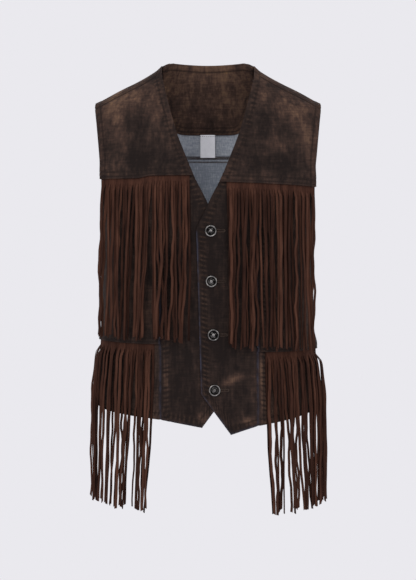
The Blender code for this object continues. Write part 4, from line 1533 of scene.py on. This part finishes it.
def armhole_edge(top_height: float) -> Spread:
    """An armhole's edge below a seam.

    Args:
        top_height: The seam's height at the armhole.

    Returns:
        A function that gives turns and heights for shares down to the underarm.
    """

    def points(share: Grid) -> Grid:
        """Turns and heights at shares."""
        z = blend(top_height, UNDERARM, 1 - (1 - share) ** 2)
        return pair(np.minimum(FIGURE.turn(ARM_REACH(z), z), FIGURE.side_turn(z)), z)

    return points


class Back:
    """The back: the body, the yoke over the shoulders, the facing and the label."""

    NECK_ROLL = -0.02
    NECK_TOP = 49.4
    NECK_CORNER = 0.26
    NECK_DIP = 1.4
    NECK_DIP_START = 0.26
    NECK_DROP = 0.1
    FACING_REACH = 78.0
    FACING_SIDE_DEPTH = 30.0
    FACING_CURVE = 8.0
    FACING_ROWS = (5.0, 12.0)
    FACING_TOP_ROW = 10.0
    FACING_BAND = 10.0
    FACING_SWELL = 0.3
    FACING_SHADE = 1.1
    LABEL_CENTRE = -0.4
    LABEL_WIDTH = 24.6
    LABEL_LENGTH = 38.0
    LABEL_CURL = 1.6
    SEAM_STEPS = 8
    SEAM_ROW = 11.0
    OVERLOCK_ROW = 4.0
    OVERLOCK_SLANT = 0.15

    def __init__(self) -> None:
        """Forms the panels."""
        self.body = self._body()
        self.yoke = self._yoke()
        self.panels = [self.body, self.yoke]

    def _body(self) -> Panel:
        """The back below the yoke, from side seam to side seam. Turns count from its middle."""
        corners = (0.225, 0.775)
        arm_top = BACK_YOKE_SEAM + LAP
        armhole = armhole_edge(arm_top)

        def top(u: Grid) -> Grid:
            """An armhole, the edge under the yoke, and the other armhole."""
            x = ARM_REACH.at(arm_top) * (2 * (u - corners[0]) / (corners[1] - corners[0]) - 1)
            arm = armhole(np.maximum((np.maximum(u, 1 - u) - corners[1]) / (1 - corners[1]), 0.0))
            arm[:, 0] *= np.sign(u - 0.5)
            under = (u >= corners[0]) & (u <= corners[1])
            return np.where(under[:, None], pair(FIGURE.turn(x, arm_top), arm_top), arm)

        def bottom(u: Grid) -> Grid:
            """The hem."""
            z = blend(BACK_HEM, SIDE_HEM, ease(np.abs(2 * u - 1)))
            return pair((2 * u - 1) * FIGURE.side_turn(z), z)

        left, right = uprights(bottom, top, lambda z: -FIGURE.side_turn(z), FIGURE.side_turn)
        across, up = graded(390, BACK_CELL, corners), graded(390, BACK_CELL)
        flat = patch((bottom, top, left, right), across, up)
        base = FIGURE.ring(180 - flat[..., 0], flat[..., 1])
        sides = square_sides(base)
        places, inward, _ = sides["top"]
        first, last = (int(np.argmin(np.abs(across - corner))) for corner in corners)
        under = EdgeForm(rows=(self.SEAM_ROW,))
        borders = [
            Border(EdgeKind.HEM, *sides["bottom"], rope=0.5),
            Border(EdgeKind.UNDER, places[first:last + 1], inward, False, form=under),
            Border(EdgeKind.HEM, places[:first + 1], inward, True, rope=0.3),
            Border(EdgeKind.HEM, places[last:], inward, True, rope=0.3),
            Border(EdgeKind.SEAM, *sides["left"]),
            Border(EdgeKind.SEAM, *sides["right"]),
        ]
        return Panel("back", base, 0.0, borders, Cut(0.49, 0.43, 0.166), tone_and_shade=-0.4)

    def _neck_height(self, x: Grid) -> Grid:
        """The height of the back neck edge."""
        side = 1 - np.abs(x) / NECK_SIDE
        dip = self.NECK_DIP * ease((side - self.NECK_DIP_START) / (1 - self.NECK_DIP_START))
        edge = float(FIGURE.ridge(NECK_SIDE)) - self.NECK_DROP
        rise = 1 - (1 - np.minimum(side / self.NECK_CORNER, 1.0)) ** 2
        return blend(edge, self.NECK_TOP, rise) - dip

    def _arch(self, sign: Grid, share: Grid, back: Grid, ahead: Grid) -> Grid:
        """Points of the yoke over a shoulder.

        Args:
            sign: 1 on the left shoulder and -1 on the right, for each column.
            share: Shares from the neck to the tip, for each column.
            back: Shares of the rows from the back seam to the neck.
            ahead: Shares of the rows from the neck to the front seam.

        Returns:
            Rows of points.
        """
        top = FIGURE.ridge(blend(NECK_SIDE, SHOULDER_TIP, share))
        drop = top - BACK_YOKE_SEAM
        foot = top - SHOULDER_SEAM_DROP
        for _ in range(self.SEAM_STEPS):
            reach = blend(NECK_SIDE, ARM_REACH(foot), share)
            foot = FIGURE.ridge(reach) - SHOULDER_SEAM_DROP - SHOULDER_GAP / 2 - SHOULDER_COVER
        end = np.sqrt((top - foot) / drop)
        behind = np.broadcast_to(blend(-1.0, self.NECK_ROLL, back)[:, None], (len(back), len(share)))
        before = blend(self.NECK_ROLL, end[None, :], ahead[:, None])
        roll = np.concatenate([behind, before])
        z = top - drop * roll * roll
        x = sign * np.minimum(blend(NECK_SIDE, ARM_REACH(z), share), FIGURE.half_width(z))
        return np.where((roll > 0)[..., None], FIGURE.front(x, z), FIGURE.back(x, z))

    def _yoke(self) -> Panel:
        """The piece over both shoulders and across the back, cut out round the neck."""
        back, ahead = graded(150, BACK_CELL), graded(30, BACK_CELL)[1:]
        wing = graded(112, BACK_CELL)
        span = graded(150, BACK_CELL)[1:-1] * 2 - 1
        right = self._arch(-np.ones(len(wing)), wing[::-1], back, ahead)
        left = self._arch(np.ones(len(wing)), wing, back, ahead)
        guide = left[:len(back), 0, 2]
        rows = (guide - guide[0]) / (guide[-1] - guide[0])
        rows = np.concatenate([rows, np.ones(len(ahead))])
        x = span * NECK_SIDE
        height = blend(BACK_YOKE_SEAM, self._neck_height(x)[None, :], rows[:, None])
        middle = FIGURE.back(np.broadcast_to(x, height.shape), height)
        base = np.concatenate([right, middle, left], axis=1)
        rise = BACK_LAP.rise(np.concatenate([back, 1 + ahead]))[:, None]
        count, columns = base.shape[:2]
        neck, first, last = len(back) - 1, len(wing) - 1, len(wing) + len(span)
        filled = all_cells(base)
        filled[neck:, first:last] = False
        end, sides = count - 1, square_sides(base)
        self.neck_row, self.neck_columns = neck, (first, last)
        neck_form = EdgeForm(bulge=0.8, band=9.6, swell=0.3, rows=(9.2,), turned=28.0)
        lap = EdgeForm(band=9.0, swell=0.45, dip=0.4, rows=(2.4, 7.6))
        borders = [
            Border(EdgeKind.LAP, *sides["bottom"]),
            Border(EdgeKind.HEM, *sides["left"]),
            Border(EdgeKind.HEM, *sides["right"]),
            Border(EdgeKind.LAP, [(end, c) for c in range(first + 1)], (-1, 0), False, form=lap),
            Border(EdgeKind.LAP, [(end, c) for c in range(last, columns)], (-1, 0), False, form=lap),
            Border(EdgeKind.LAP, [(r, first) for r in range(neck, count)], (0, -1), True, form=neck_form),
            Border(EdgeKind.LAP, [(neck, c) for c in range(first, last + 1)], (-1, 0), False, form=neck_form),
            Border(EdgeKind.LAP, [(r, last) for r in range(neck, count)], (0, 1), True, form=neck_form),
        ]
        return Panel("back_yoke", base, rise, borders, Cut(0.40, 0.215, 0.066), filled, tone_and_shade=0.1)

    def facing(self) -> tuple[Shell, list[StitchRow]]:
        """The brown half-moon inside the back neck, and its stitch rows."""
        first, last = self.neck_columns
        grid = self.yoke.inner[:self.neck_row + 1, first:last + 1]
        side_end = float(FIGURE.ridge(self.FACING_REACH)) - self.FACING_SIDE_DEPTH
        down = graded(115, CELL)
        columns = []
        for column in range(grid.shape[1]):
            line = grid[:, column]
            share = min(abs(line[-1, 0]) / self.FACING_REACH, 1.0) ** self.FACING_CURVE
            heights = blend(line[-1, 2], blend(FACING_BOTTOM, side_end, share), down)
            flat = [np.interp(heights, line[:, 2], line[:, axis]) for axis in (0, 1)]
            columns.append(np.stack(flat + [heights], -1))
        base = np.stack(columns, axis=1)
        inward = -FIGURE.normals(base)
        shape = base.shape[:2]
        low = line_gap(base, base[-1])
        high = line_gap(base, base[0])
        # This mask sinks the stitch grooves and also paints shade in them
        groove_and_shade = np.zeros(shape)
        seams = [(low, inset) for inset in self.FACING_ROWS] + [(high, self.FACING_TOP_ROW)]
        for gap, inset in seams:
            groove_and_shade = np.maximum(groove_and_shade, np.exp(-(((gap - inset) / self.FACING_SHADE) ** 2)))
        band = 1 - ease((low - self.FACING_BAND) / BAND_FADE)
        near = base + inward * LAP_GAP
        thick = FACING_CLOTH + self.FACING_SWELL * band - GROOVE * groove_and_shade
        far = base + inward * (LAP_GAP + thick)[..., None]
        flat = np.zeros(shape)
        stored = {"groove_and_shade": groove_and_shade, "hem_across": 0.25 * band, "hem_up": flat, "worn": flat, "tone_and_shade": flat + 0.7}
        shell = Shell("back_neck_facing_cloth", far, near, all_cells(base), flat + 0.7, 3, stored)
        rows, columns = [], np.arange(shape[1])
        for gap, inset in seams:
            pick = np.argmax(gap >= inset, 0) if gap is high else shape[0] - 1 - np.argmax(gap[::-1] >= inset, 0)
            rows.append(along_row(far[pick, columns], inward[pick, columns]))
        return shell, rows

    def label(self) -> tuple[Shell, list[StitchRow]]:
        """A plain label that hangs below the facing, and its stitch row."""
        across, down = np.meshgrid(np.linspace(-0.5, 0.5, 14), np.linspace(0.0, 1.0, 20))
        x = self.LABEL_CENTRE + self.LABEL_WIDTH * across
        base = FIGURE.back(x, FACING_BOTTOM - SEAM_GAP - self.LABEL_LENGTH * down)
        curl = self.LABEL_CURL * down ** 2 * (1 + 0.7 * across)
        outer = FIGURE.off(base, -2 * SEAM_GAP - curl)
        inner = FIGURE.off(base, -2 * SEAM_GAP - LABEL_CLOTH - curl)
        shell = Shell("neck_label_cloth", inner, outer, all_cells(base), np.full(x.shape, 0.7), 2)
        return shell, [along_row(inner[1], -FIGURE.normals(base[1]))]

    def overlock(self) -> list[StitchRow]:
        """The overlocked edge of the yoke seam inside, as slanted stitches."""
        row = self.body.inset_row(self.body.borders[1], self.OVERLOCK_ROW, inside=True)
        along = unit(row.lay)
        return [StitchRow(row.points, row.out, np.cross(row.out, along) + along * self.OVERLOCK_SLANT)]

    def seam_line(self) -> list[StitchRow]:
        """The stitch line below the overlocked edge inside."""
        rows = (self.SEAM_ROW - 0.7, self.SEAM_ROW + 0.8)
        return [self.body.inset_row(self.body.borders[1], row, inside=True) for row in rows]


@dataclass(frozen=True)
class Lock:
    """Strands that gather: how many, how far their tips lean outwards, and how far they close up."""

    strands: int
    lean: float
    gather: float


LOCKS = {
    "upper_right": (Lock(7, 1, 0.10), Lock(7, 3, 0.25), Lock(6, 9, 0.30), Lock(7, 7, 0.20), Lock(13, 7, 0.05)),
    "upper_left": (Lock(6, -1, 0.15), Lock(6, 0, 0.25), Lock(8, 4, 0.20), Lock(6, 3, 0.25), Lock(13, 2, 0.05)),
    "lower_right": (Lock(7, 8, 0.10), Lock(6, 9, 0.20), Lock(6, 8, 0.25), Lock(12, 3, 0.10)),
    "lower_left": (Lock(6, 6, 0.15), Lock(6, 8, 0.20), Lock(6, 9, 0.20), Lock(13, 2, 0.10)),
}


@dataclass
class Fringe:
    """A suede strip under a seam with strands that hang from it."""

    cut: FrontCut
    tier: Tier
    pitch: float = 4.3
    slit: float = 0.5
    slit_shift: float = 0.6
    stops: tuple[float, ...] = (0.06, 0.16, 0.30, 0.46, 0.64, 0.82, 1.0)
    tuck: float = 5.0
    depth: float = 9.0
    start: float = 29.2
    layer_first: float = 3.4
    layer_step: float = 1.8
    layers: int = 2
    layers_spare: int = 6
    layer_run: float = 0.06
    clearance: float = SUEDE + 0.45
    near: int = 13
    lean_growth: float = 1.4
    own_lean: float = 6.0
    own_bow: float = 4.0
    own_twists: tuple[int, ...] = (12, 18, 25, 35, 60)
    length_spread: float = 4.5
    tip_slant: float = 1.6
    front_turn: float = 0.65
    front_turn_run: float = 0.4
    most_turn: float = math.radians(80)
    root_samples: int = 120
    lift_rise: float = 52.0
    lift_run: float = 20.0
    seed: int = 41
    rows: int = 30
    columns: tuple[float, ...] = (-1.0, -0.82, 0.82, 1.0)
    row_growth: float = 1.15
    wiggle: float = 1.7
    ripple: float = 0.35
    ripple_rate: float = 2.7
    thinning: float = 0.06
    cup: float = 0.25
    bulge: float = 0.45

    def __post_init__(self) -> None:
        """Names the fringe and finds the ends of its seam."""
        cut = self.cut
        self.name = f"{self.tier.value}_{cut.side}"
        self.locks = LOCKS[self.name]
        self.yoke = cut.yoke
        upper = self.tier is Tier.UPPER
        self.tips = cut.upper_tips if upper else cut.lower_tips
        self.draws = random.Random(self.seed + (10 if upper else 20) + cut.sign)
        self.reach_end = ARM_REACH.at(self.yoke.at(SHOULDER_TIP)) - 1.0
        self.turn_start = float(FIGURE.turn(cut.waist_inner.reach, cut.waist_inner.height))
        self.turn_end = float(FIGURE.side_turn(cut.waist_outer, 2 * self.slit))
        self.seam_end = blend(cut.waist_inner.height, cut.waist_outer, 0.5)

    def column(self, share: float, drop: float) -> Vector:
        """A point of the figure at a share of the seam, above or below it."""
        if self.tier is Tier.UPPER:
            x = blend(self.start, self.reach_end, share)
            return Vector(FIGURE.front(self.cut.sign * x, self.yoke.at(x) + drop))
        turn = blend(self.turn_start, self.turn_end, share)
        return Vector(FIGURE.ring(self.cut.sign * turn, self.cut.waist(turn) + drop))

    def need(self, point: Vector) -> float:
        """How far from the figure a strand's first layer lies."""
        if self.tier is Tier.LOWER:
            return self.layer_first
        seam = WAIST_LAP.lift * soft_step((self.seam_end + self.lift_rise - point.z) / self.lift_run)
        return self.layer_first + seam + float(self.cut.closing_lift(point.x, point.z))

    def push_out(self, point: Vector, need: float) -> Vector:
        """A point moved level and outwards until it lies far enough from the figure."""
        for _ in range(4):
            slope = FIGURE.slope_at(point)
            short = need - FIGURE.level_at(point) / slope.length
            if short <= 0:
                break
            point = point + Vector((slope.x, slope.y, 0)).normalized() * short
        return point

    def hang(
        self, root: "Root", layer: int, lean: float, bow: float, twist: float, face: float
    ) -> list[tuple[Vector, Vector]]:
        """The two edges of a strand as it hangs.

        Args:
            root: Where the strand starts.
            layer: Its layer.
            lean: How far its tip leans sideways.
            bow: How far it bows sideways.
            twist: How far it twists, in radians.
            face: How far it turns to the front, in radians.

        Returns:
            The edges, stop by stop.
        """
        rows = []
        point, before = root.point, Vector()
        for share in self.stops:
            sideways = lean * share ** self.lean_growth + bow * math.sin(math.pi * share)
            place = root.along * sideways - Vector((0, 0, root.length * share))
            point = point + place - before
            before = place
            turn = twist * soft_step(share) + face * soft_step(share / self.front_turn_run)
            turn = min(max(turn, -self.most_turn), self.most_turn)
            width = (root.along * math.cos(turn) + root.out * math.sin(turn)) * root.half
            lift = layer * self.layer_step * soft_step(share / self.layer_run)
            point = self.push_out(point, self.need(point) + lift + root.half * abs(math.sin(turn)))
            rows.append((point - width, point + width))
        return rows

    def clears(self, rows: list, others: list) -> bool:
        """Whether a strand stands clear of others.

        Args:
            rows: Its edges.
            others: The edges of the strands beside it.

        Returns:
            True where it touches none of them.
        """
        for other in others:
            for (a, b), (c, d) in zip(doubled(rows), doubled(other)):
                if (a + b - c - d).xy.length < 4 * self.pitch and level_gap(a, b, c, d) < self.clearance:
                    return False
        return True

    def lock_lean(self, index: int, count: int) -> float:
        """How far a strand's tip leans with its lock."""
        first = 0
        for lock in self.locks:
            last = first + lock.strands
            if index < last or lock is self.locks[-1]:
                middle = (first + min(last, count) - 1) / 2
                return lock.lean - (index - middle) * self.pitch * lock.gather
            first = last
        return 0.0

    def shell(self) -> Shell:
        """The whole fringe: hangs strand after strand, each clear of those before it."""
        shares = [i / self.root_samples for i in range(self.root_samples + 1)]
        samples = [self.column(share, 0.0) for share in shares]
        lengths = [0.0]
        for a, b in zip(samples, samples[1:]):
            lengths.append(lengths[-1] + (b - a).length)
        count = round(lengths[-1] / self.pitch)
        pitch = lengths[-1] / count
        share_at = Curve(lengths, shares)
        slits = [index * pitch + self.draws.uniform(-self.slit_shift, self.slit_shift) for index in range(count + 1)]
        slits[0], slits[-1] = 0.0, lengths[-1]
        extra = random.Random(self.seed + 500)
        placed, strands = [], []
        tries = [(keep, move, 1.0) for keep in (1.0, 0.6, 0.3, 0.1) for move in range(4)]
        tries += [(0.0, move, face) for face in (1.0, 0.7, 0.4, 0.0) for move in range(self.layers_spare)]
        for index in range(count):
            ends = [share_at.at(slits[index] + self.slit / 2), share_at.at(slits[index + 1] - self.slit / 2)]
            root = self._root(ends, blend(self.tips[0], self.tips[1], index / (count - 1)))
            own_lean = self.draws.uniform(-self.own_lean, self.own_lean)
            bow = self.draws.uniform(-self.own_bow, self.own_bow)
            twist = math.radians(self.draws.choice((-1, 1)) * self.draws.choice(self.own_twists))
            slant = self.draws.uniform(-self.tip_slant, self.tip_slant)
            front = self.front_turn * math.atan2(root.along.y, -root.out.y)
            for keep, move, face in tries:
                layer = (index + move) % self.layers if move < self.layers else move
                lean = self.lock_lean(index, count) + own_lean * keep
                rows = self.hang(root, layer, lean, bow * keep, twist * keep, front * face)
                if self.clears(rows, placed[-self.near:]):
                    break
            placed.append(rows)
            strands.append((*self._strand(root, ends, rows, slant, extra), extra.uniform(-1.0, 1.0)))
        return self._joined(strands)

    def _root(self, ends: list[float], tip: float) -> "Root":
        """Where a strand leaves its strip.

        Args:
            ends: Shares of the seam at its two edges.
            tip: The height that it reaches down to.

        Returns:
            The root.
        """
        left, right = (self._strip(end, -self.depth, 0.5) for end in ends)
        point = (left + right) / 2
        along = Vector((right.x - left.x, right.y - left.y, 0)).normalized()
        slope = FIGURE.slope_at(point)
        length = point.z - tip + self.draws.uniform(-self.length_spread, self.length_spread)
        half = (right - left).length / 2
        return Root(point, along, Vector((slope.x, slope.y, 0)).normalized(), half, length)

    def _strip(self, share: float, drop: float, depth: float) -> Vector:
        """A point of the strip at a share of its thickness."""
        point = np.array(self.column(share, drop))
        return Vector(FIGURE.off(point, CLOTH + SEAM_GAP + SUEDE * depth))

    def _strand(
        self, root: "Root", ends: list[float], rows: list, slant: float, extra: random.Random
    ) -> tuple[Grid, Grid]:
        """The two faces of a strand with its bit of strip.

        Args:
            root: Where it leaves the strip.
            ends: Shares of the seam at its edges.
            rows: Its edges, stop by stop.
            slant: The slant of its tip.
            extra: Draws for small bends.

        Returns:
            Rows of points of the outer and inner face.
        """
        width = root.along * root.half
        edges = [(root.point - width, root.point + width)] + rows
        places = (0.0,) + self.stops
        shares = np.linspace(0.0, 1.0, self.rows) ** self.row_growth
        a, b = (np.stack([Curve(places, [e[k][i] for e in edges])(shares) for i in range(3)], -1) for k in (0, 1))
        middle, half = (a + b) / 2, (b - a) / 2
        across = unit(half)
        through = unit(np.stack([across[:, 1], -across[:, 0], np.zeros(len(across))], -1))
        through *= np.sign(through @ np.array(root.out))[:, None]
        waves = extra.uniform(1.6, 3.4), extra.uniform(0.0, 6.28), extra.uniform(2.0, 4.0), extra.uniform(0.0, 6.28)
        free = ease(shares * 3)
        wavy = self.wiggle * extra.uniform(0.3, 1.0) ** 2 * free
        sway = wavy * np.sin(2 * math.pi * waves[0] * shares + waves[1])
        sway += self.ripple * wavy * np.sin(2 * math.pi * self.ripple_rate * waves[0] * shares + waves[3])
        middle = middle + across * sway[:, None]
        swing = self.ripple * free * np.sin(2 * math.pi * waves[2] * shares + waves[3])
        middle = middle + through * swing[:, None]
        cup = self.cup * extra.uniform(-1.0, 1.0) * free
        thin = 1 - self.thinning * free * extra.uniform(0.0, 1.0)
        faces, t = [], np.array(self.columns)
        spots = [blend(*ends, (column + 1) / 2) for column in self.columns]
        drops = (self.tuck, 1.0, -0.6 * self.depth)
        flat = middle[:, None] + half[:, None] * (thin[:, None] * t)[..., None]
        for side in (0.5, -0.5):
            depth = SUEDE * side + cup[:, None] * (1 - t * t)
            grid = flat + through[:, None] * depth[..., None]
            grid[-1, :, 2] += t * slant
            strip = [[self._strip(spot, drop, 0.5 + side) for spot in spots] for drop in drops]
            faces.append(np.concatenate([np.array(strip), grid]))
        return faces[0], faces[1]

    def _joined(self, strands: list[tuple[Grid, Grid, float]]) -> Shell:
        """Joins all strands, each with two faces and a shade, to one shell."""
        outer, inner, tones = zip(*strands)
        front, rear = np.concatenate(outer, axis=1), np.concatenate(inner, axis=1)
        wide = len(self.columns)
        rows = len(front)
        filled = all_cells(front)
        filled[3:, wide - 1::wide] = False
        free = ease((np.arange(rows) - 2) / 6)[:, None]
        tone = np.repeat(np.array(tones), wide)[None, :] * blend(0.3, 1.0, free)
        # Painted shade on each strand's two edge columns, fading in below the strip
        edge = np.tile(np.abs(np.array(self.columns)) > 0.9, len(tones))[None, :] * free
        stored = {"strand_tone": tone, "strand_edge_shade": np.broadcast_to(edge, front.shape[:2])}
        bulge = np.full(front.shape[:2], self.bulge)
        return Shell(f"fringe_{self.name}_suede", front, rear, filled, bulge, 1, stored)


@dataclass
class Root:
    """Where a strand leaves its strip: the point, directions, half width and length."""

    point: Vector
    along: Vector
    out: Vector
    half: float
    length: float


def doubled(rows: list) -> list:
    """The rows of a strand with one more between each two."""
    return rows + [tuple((p + q) / 2 for p, q in zip(*two)) for two in zip(rows, rows[1:])]


def level_gap(a: Vector, b: Vector, c: Vector, d: Vector) -> float:
    """The level distance between two short straight lines, from points along them."""
    steps = [i / 5 for i in range(6)]
    first = [a.lerp(b, t).xy for t in steps]
    second = [c.lerp(d, t).xy for t in steps]
    return min((p - q).length for p in first for q in second)


@dataclass
class ShankButton:
    """A turned metal button on the upper front, with its buttonhole."""

    number: int
    across: float
    height: float
    sides: int = 64
    hole_length: float = 21.0
    hole_half: float = 1.7
    profile: tuple[tuple[float, float], ...] = (
        (8.6, 0.0), (9.2, 0.35), (9.5, 1.0), (9.45, 1.8), (9.15, 2.5), (8.6, 2.92), (8.0, 3.0), (7.5, 2.82),
        (7.15, 2.45), (6.9, 2.0), (6.5, 1.72), (5.8, 1.62), (5.1, 1.66), (4.7, 1.9), (4.35, 2.16), (3.95, 2.16),
        (3.6, 1.9), (3.2, 1.8), (2.7, 2.0), (2.2, 2.5), (1.5, 2.85), (0.7, 2.98),
    )
    crown: float = 3.0
    rim: float = 8.0
    hollow: float = 2.55

    def __post_init__(self) -> None:
        """Finds the button's seat."""
        spot = FIGURE.front(np.array(self.across), np.array(self.height))
        lift = float(LEFT.closing_lift(np.array(self.across), np.array(self.height)))
        self.out = FIGURE.normals(spot)
        self.seat = FIGURE.off(spot, lift + CLOTH + SEAM_GAP)

    def _frame(self) -> tuple[Grid, Grid]:
        """Directions across and up on the seat."""
        across = np.cross(np.array([0.0, 0.0, 1.0]), self.out)
        across = across / np.linalg.norm(across)
        return across, np.cross(self.out, across)

    def build(self, metal: Finish) -> Piece:
        """Turns the button.

        Args:
            metal: Its material.

        Returns:
            The object.
        """
        across, up = self._frame()
        angles = np.arange(self.sides) * 2 * math.pi / self.sides
        round_it = np.cos(angles)[:, None] * across + np.sin(angles)[:, None] * up
        points, hollow = [self.seat[None]], [0.0]
        for radius, height in self.profile:
            points.append(self.seat + round_it * radius + self.out * height)
            inside = soft_step((self.rim - radius) / 0.9) * soft_step((self.hollow - height) / 0.7)
            hollow += [inside] * self.sides
        points.append((self.seat + self.out * self.crown)[None])
        hollow.append(0.0)
        last = len(hollow) - 1
        faces = []
        for side in range(self.sides):
            after = (side + 1) % self.sides
            faces.append((0, 1 + after, 1 + side))
            for ring in range(len(self.profile) - 1):
                a, b = 1 + ring * self.sides, 1 + (ring + 1) * self.sides
                faces.append((a + side, a + after, b + after, b + side))
            top = last - self.sides
            faces.append((top + side, top + after, last))
        mesh = bpy.data.meshes.new(f"button_{self.number}_turned")
        mesh.from_pydata((np.concatenate(points) * MM).tolist(), [], faces)
        stored = mesh.attributes.new("hollow", "FLOAT", "POINT")
        stored.data.foreach_set("value", np.array(hollow, np.float32))
        mesh.materials.append(metal)
        mesh.shade_smooth()
        return place_object(mesh.name, mesh)

    def buttonhole(self) -> StitchRow:
        """Close stitches round the buttonhole."""
        length, half = self.hole_length, self.hole_half
        turns = np.linspace(-math.pi / 2, math.pi / 2, 9)
        start = [(x, half) for x in np.linspace(length, 0.0, 12)]
        back = [(-half * math.cos(t), -half * math.sin(t)) for t in turns]
        rest = [(x, -half) for x in np.linspace(0.0, length, 12)]
        end = [(length + half * math.cos(t), half * math.sin(t)) for t in turns]
        flat = np.array(start + back + rest + end)
        x, z = self.across + flat[:, 0], self.height + flat[:, 1]
        spots = FIGURE.front(x, z)
        points = FIGURE.off(spots, LEFT.closing_lift(x, z) + CLOTH + 0.15)
        out = FIGURE.normals(spots)
        along = np.gradient(points, axis=0)
        return StitchRow(points, out, np.cross(out, along))


BUTTONS = (
    ShankButton(1, 4.3, -233), ShankButton(2, 5.4, -314), ShankButton(3, 8.6, -400), ShankButton(4, 10.6, -488.6),
)


@dataclass(frozen=True)
class Lamp:
    """A soft rectangular light: place, aim, size and power."""

    name: str
    place: tuple[float, float, float]
    aim: tuple[float, float, float]
    size: float
    power: float


@dataclass(frozen=True)
class Studio:
    """The pale surroundings, the lights and the camera."""

    ground: tuple = linear(234, 233, 238)
    floor_height: float = -1.3
    floor_radius: float = 3.1
    distance: float = 3.2
    camera_height: float = -0.328
    frame_height: float = 0.957
    sensor: float = 36.0
    lamps: tuple[Lamp, ...] = (
        Lamp("key", (-1.1, -2.4, 1.3), (0.0, 0.0, -0.3), 1.5, 26.0),
        Lamp("fill", (1.5, -2.2, 0.4), (0.0, 0.0, -0.3), 1.6, 12.0),
    )

    def build(self) -> None:
        """Makes the floor, the surroundings, the lights and the camera."""
        scene = bpy.context.scene
        scene.view_settings.view_transform = "Standard"
        world = bpy.data.worlds.new("pale_studio")
        world.use_nodes = True
        world.node_tree.nodes["Background"].inputs["Color"].default_value = self.ground
        scene.world = world
        self._floor()
        for lamp in self.lamps:
            data = bpy.data.lights.new(lamp.name, "AREA")
            data.size = lamp.size
            data.energy = lamp.power
            light = place_object(lamp.name, data)
            light.location = lamp.place
            way = Vector(lamp.aim) - Vector(lamp.place)
            light.rotation_euler = way.to_track_quat("-Z", "Y").to_euler()
        data = bpy.data.cameras.new("camera")
        data.sensor_width = self.sensor
        data.lens = self.sensor * self.distance / self.frame_height
        camera = place_object("camera", data)
        camera.location = (0.0, -self.distance, self.camera_height)
        camera.rotation_euler = (math.pi / 2, 0.0, 0.0)
        scene.camera = camera

    def _floor(self) -> None:
        """A round pale floor below the gilet."""
        sides = 96
        angles = [2 * math.pi * i / sides for i in range(sides)]
        ring = [(self.floor_radius * math.cos(a), self.floor_radius * math.sin(a), self.floor_height) for a in angles]
        mesh = bpy.data.meshes.new("floor")
        mesh.from_pydata(ring, [], [list(range(sides))])
        g = Graph("pale_floor")
        tone = (0.5 + (g.noise(3, 2) - 0.5) * 0.2).clamped()
        g.surface(Base_Color=g.mix(tone, linear(226, 225, 230), linear(236, 235, 240)), Roughness=0.9)
        mesh.materials.append(g.material)
        place_object("floor", mesh)


def settle(piece: Piece, slot: Slot, *nodes: str) -> None:
    """Lets a piece ride on the frame in place of its solids.

    Args:
        piece: The piece.
        slot: Its material slot; not used.
        nodes: The solids that it stands for.
    """
    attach(piece, BODY)
    if nodes:
        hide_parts(*nodes)
    LOG.info("%s: %d faces", piece.name, len(piece.data.polygons))


def main() -> None:
    """Builds the gilet and its surroundings."""
    logging.basicConfig(level=logging.INFO, format="%(name)s %(message)s")
    wardrobe = Wardrobe()
    sewing = Sewing()
    Studio().build()
    back = Back()
    groups = {"front_right": Front(RIGHT).panels, "front_left": Front(LEFT).panels, "back": back.panels}
    for group, panels in groups.items():
        rows = []
        for panel in panels:
            piece = panel.shell().build(wardrobe.face, wardrobe.reverse)
            settle(piece, Slot.DENIM, panel.name)
            rows += panel.stitch_rows()
        if group == "front_left":
            holes = sewing.sew("buttonholes", [b.buttonhole() for b in BUTTONS], SATIN, wardrobe.overlock)
            settle(holes, Slot.DENIM)
        settle(sewing.sew(f"topstitch_{group}", rows, TOPSTITCH, wardrobe.thread), Slot.DENIM)
    for panel in sum(groups.values(), []):
        cut = panel.cut
    facing_shell, facing_rows = back.facing()
    facing = facing_shell.build(wardrobe.face)
    settle(facing, Slot.DENIM, "back_neck_facing")
    label_shell, label_rows = back.label()
    label = label_shell.build(wardrobe.label)
    settle(label, Slot.LABEL, "neck_label")
    inside = facing_rows + label_rows
    settle(sewing.sew("topstitch_inside", inside, TOPSTITCH, wardrobe.thread), Slot.DENIM)
    settle(sewing.sew("seam_line_inside", back.seam_line(), SEAM_LINE, wardrobe.overlock), Slot.DENIM)
    settle(sewing.sew("overlocked_edge", back.overlock(), OVERLOCK, wardrobe.overlock), Slot.DENIM)
    for cut in (RIGHT, LEFT):
        for tier in Tier:
            fringe = Fringe(cut, tier)
            piece = fringe.shell().build(wardrobe.suede)
            settle(piece, Slot.SUEDE, f"fringe_{fringe.name}")
    for button in BUTTONS:
        settle(button.build(wardrobe.metal), Slot.METAL, f"button_{button.number}")


if __name__ == "__main__":
    main()
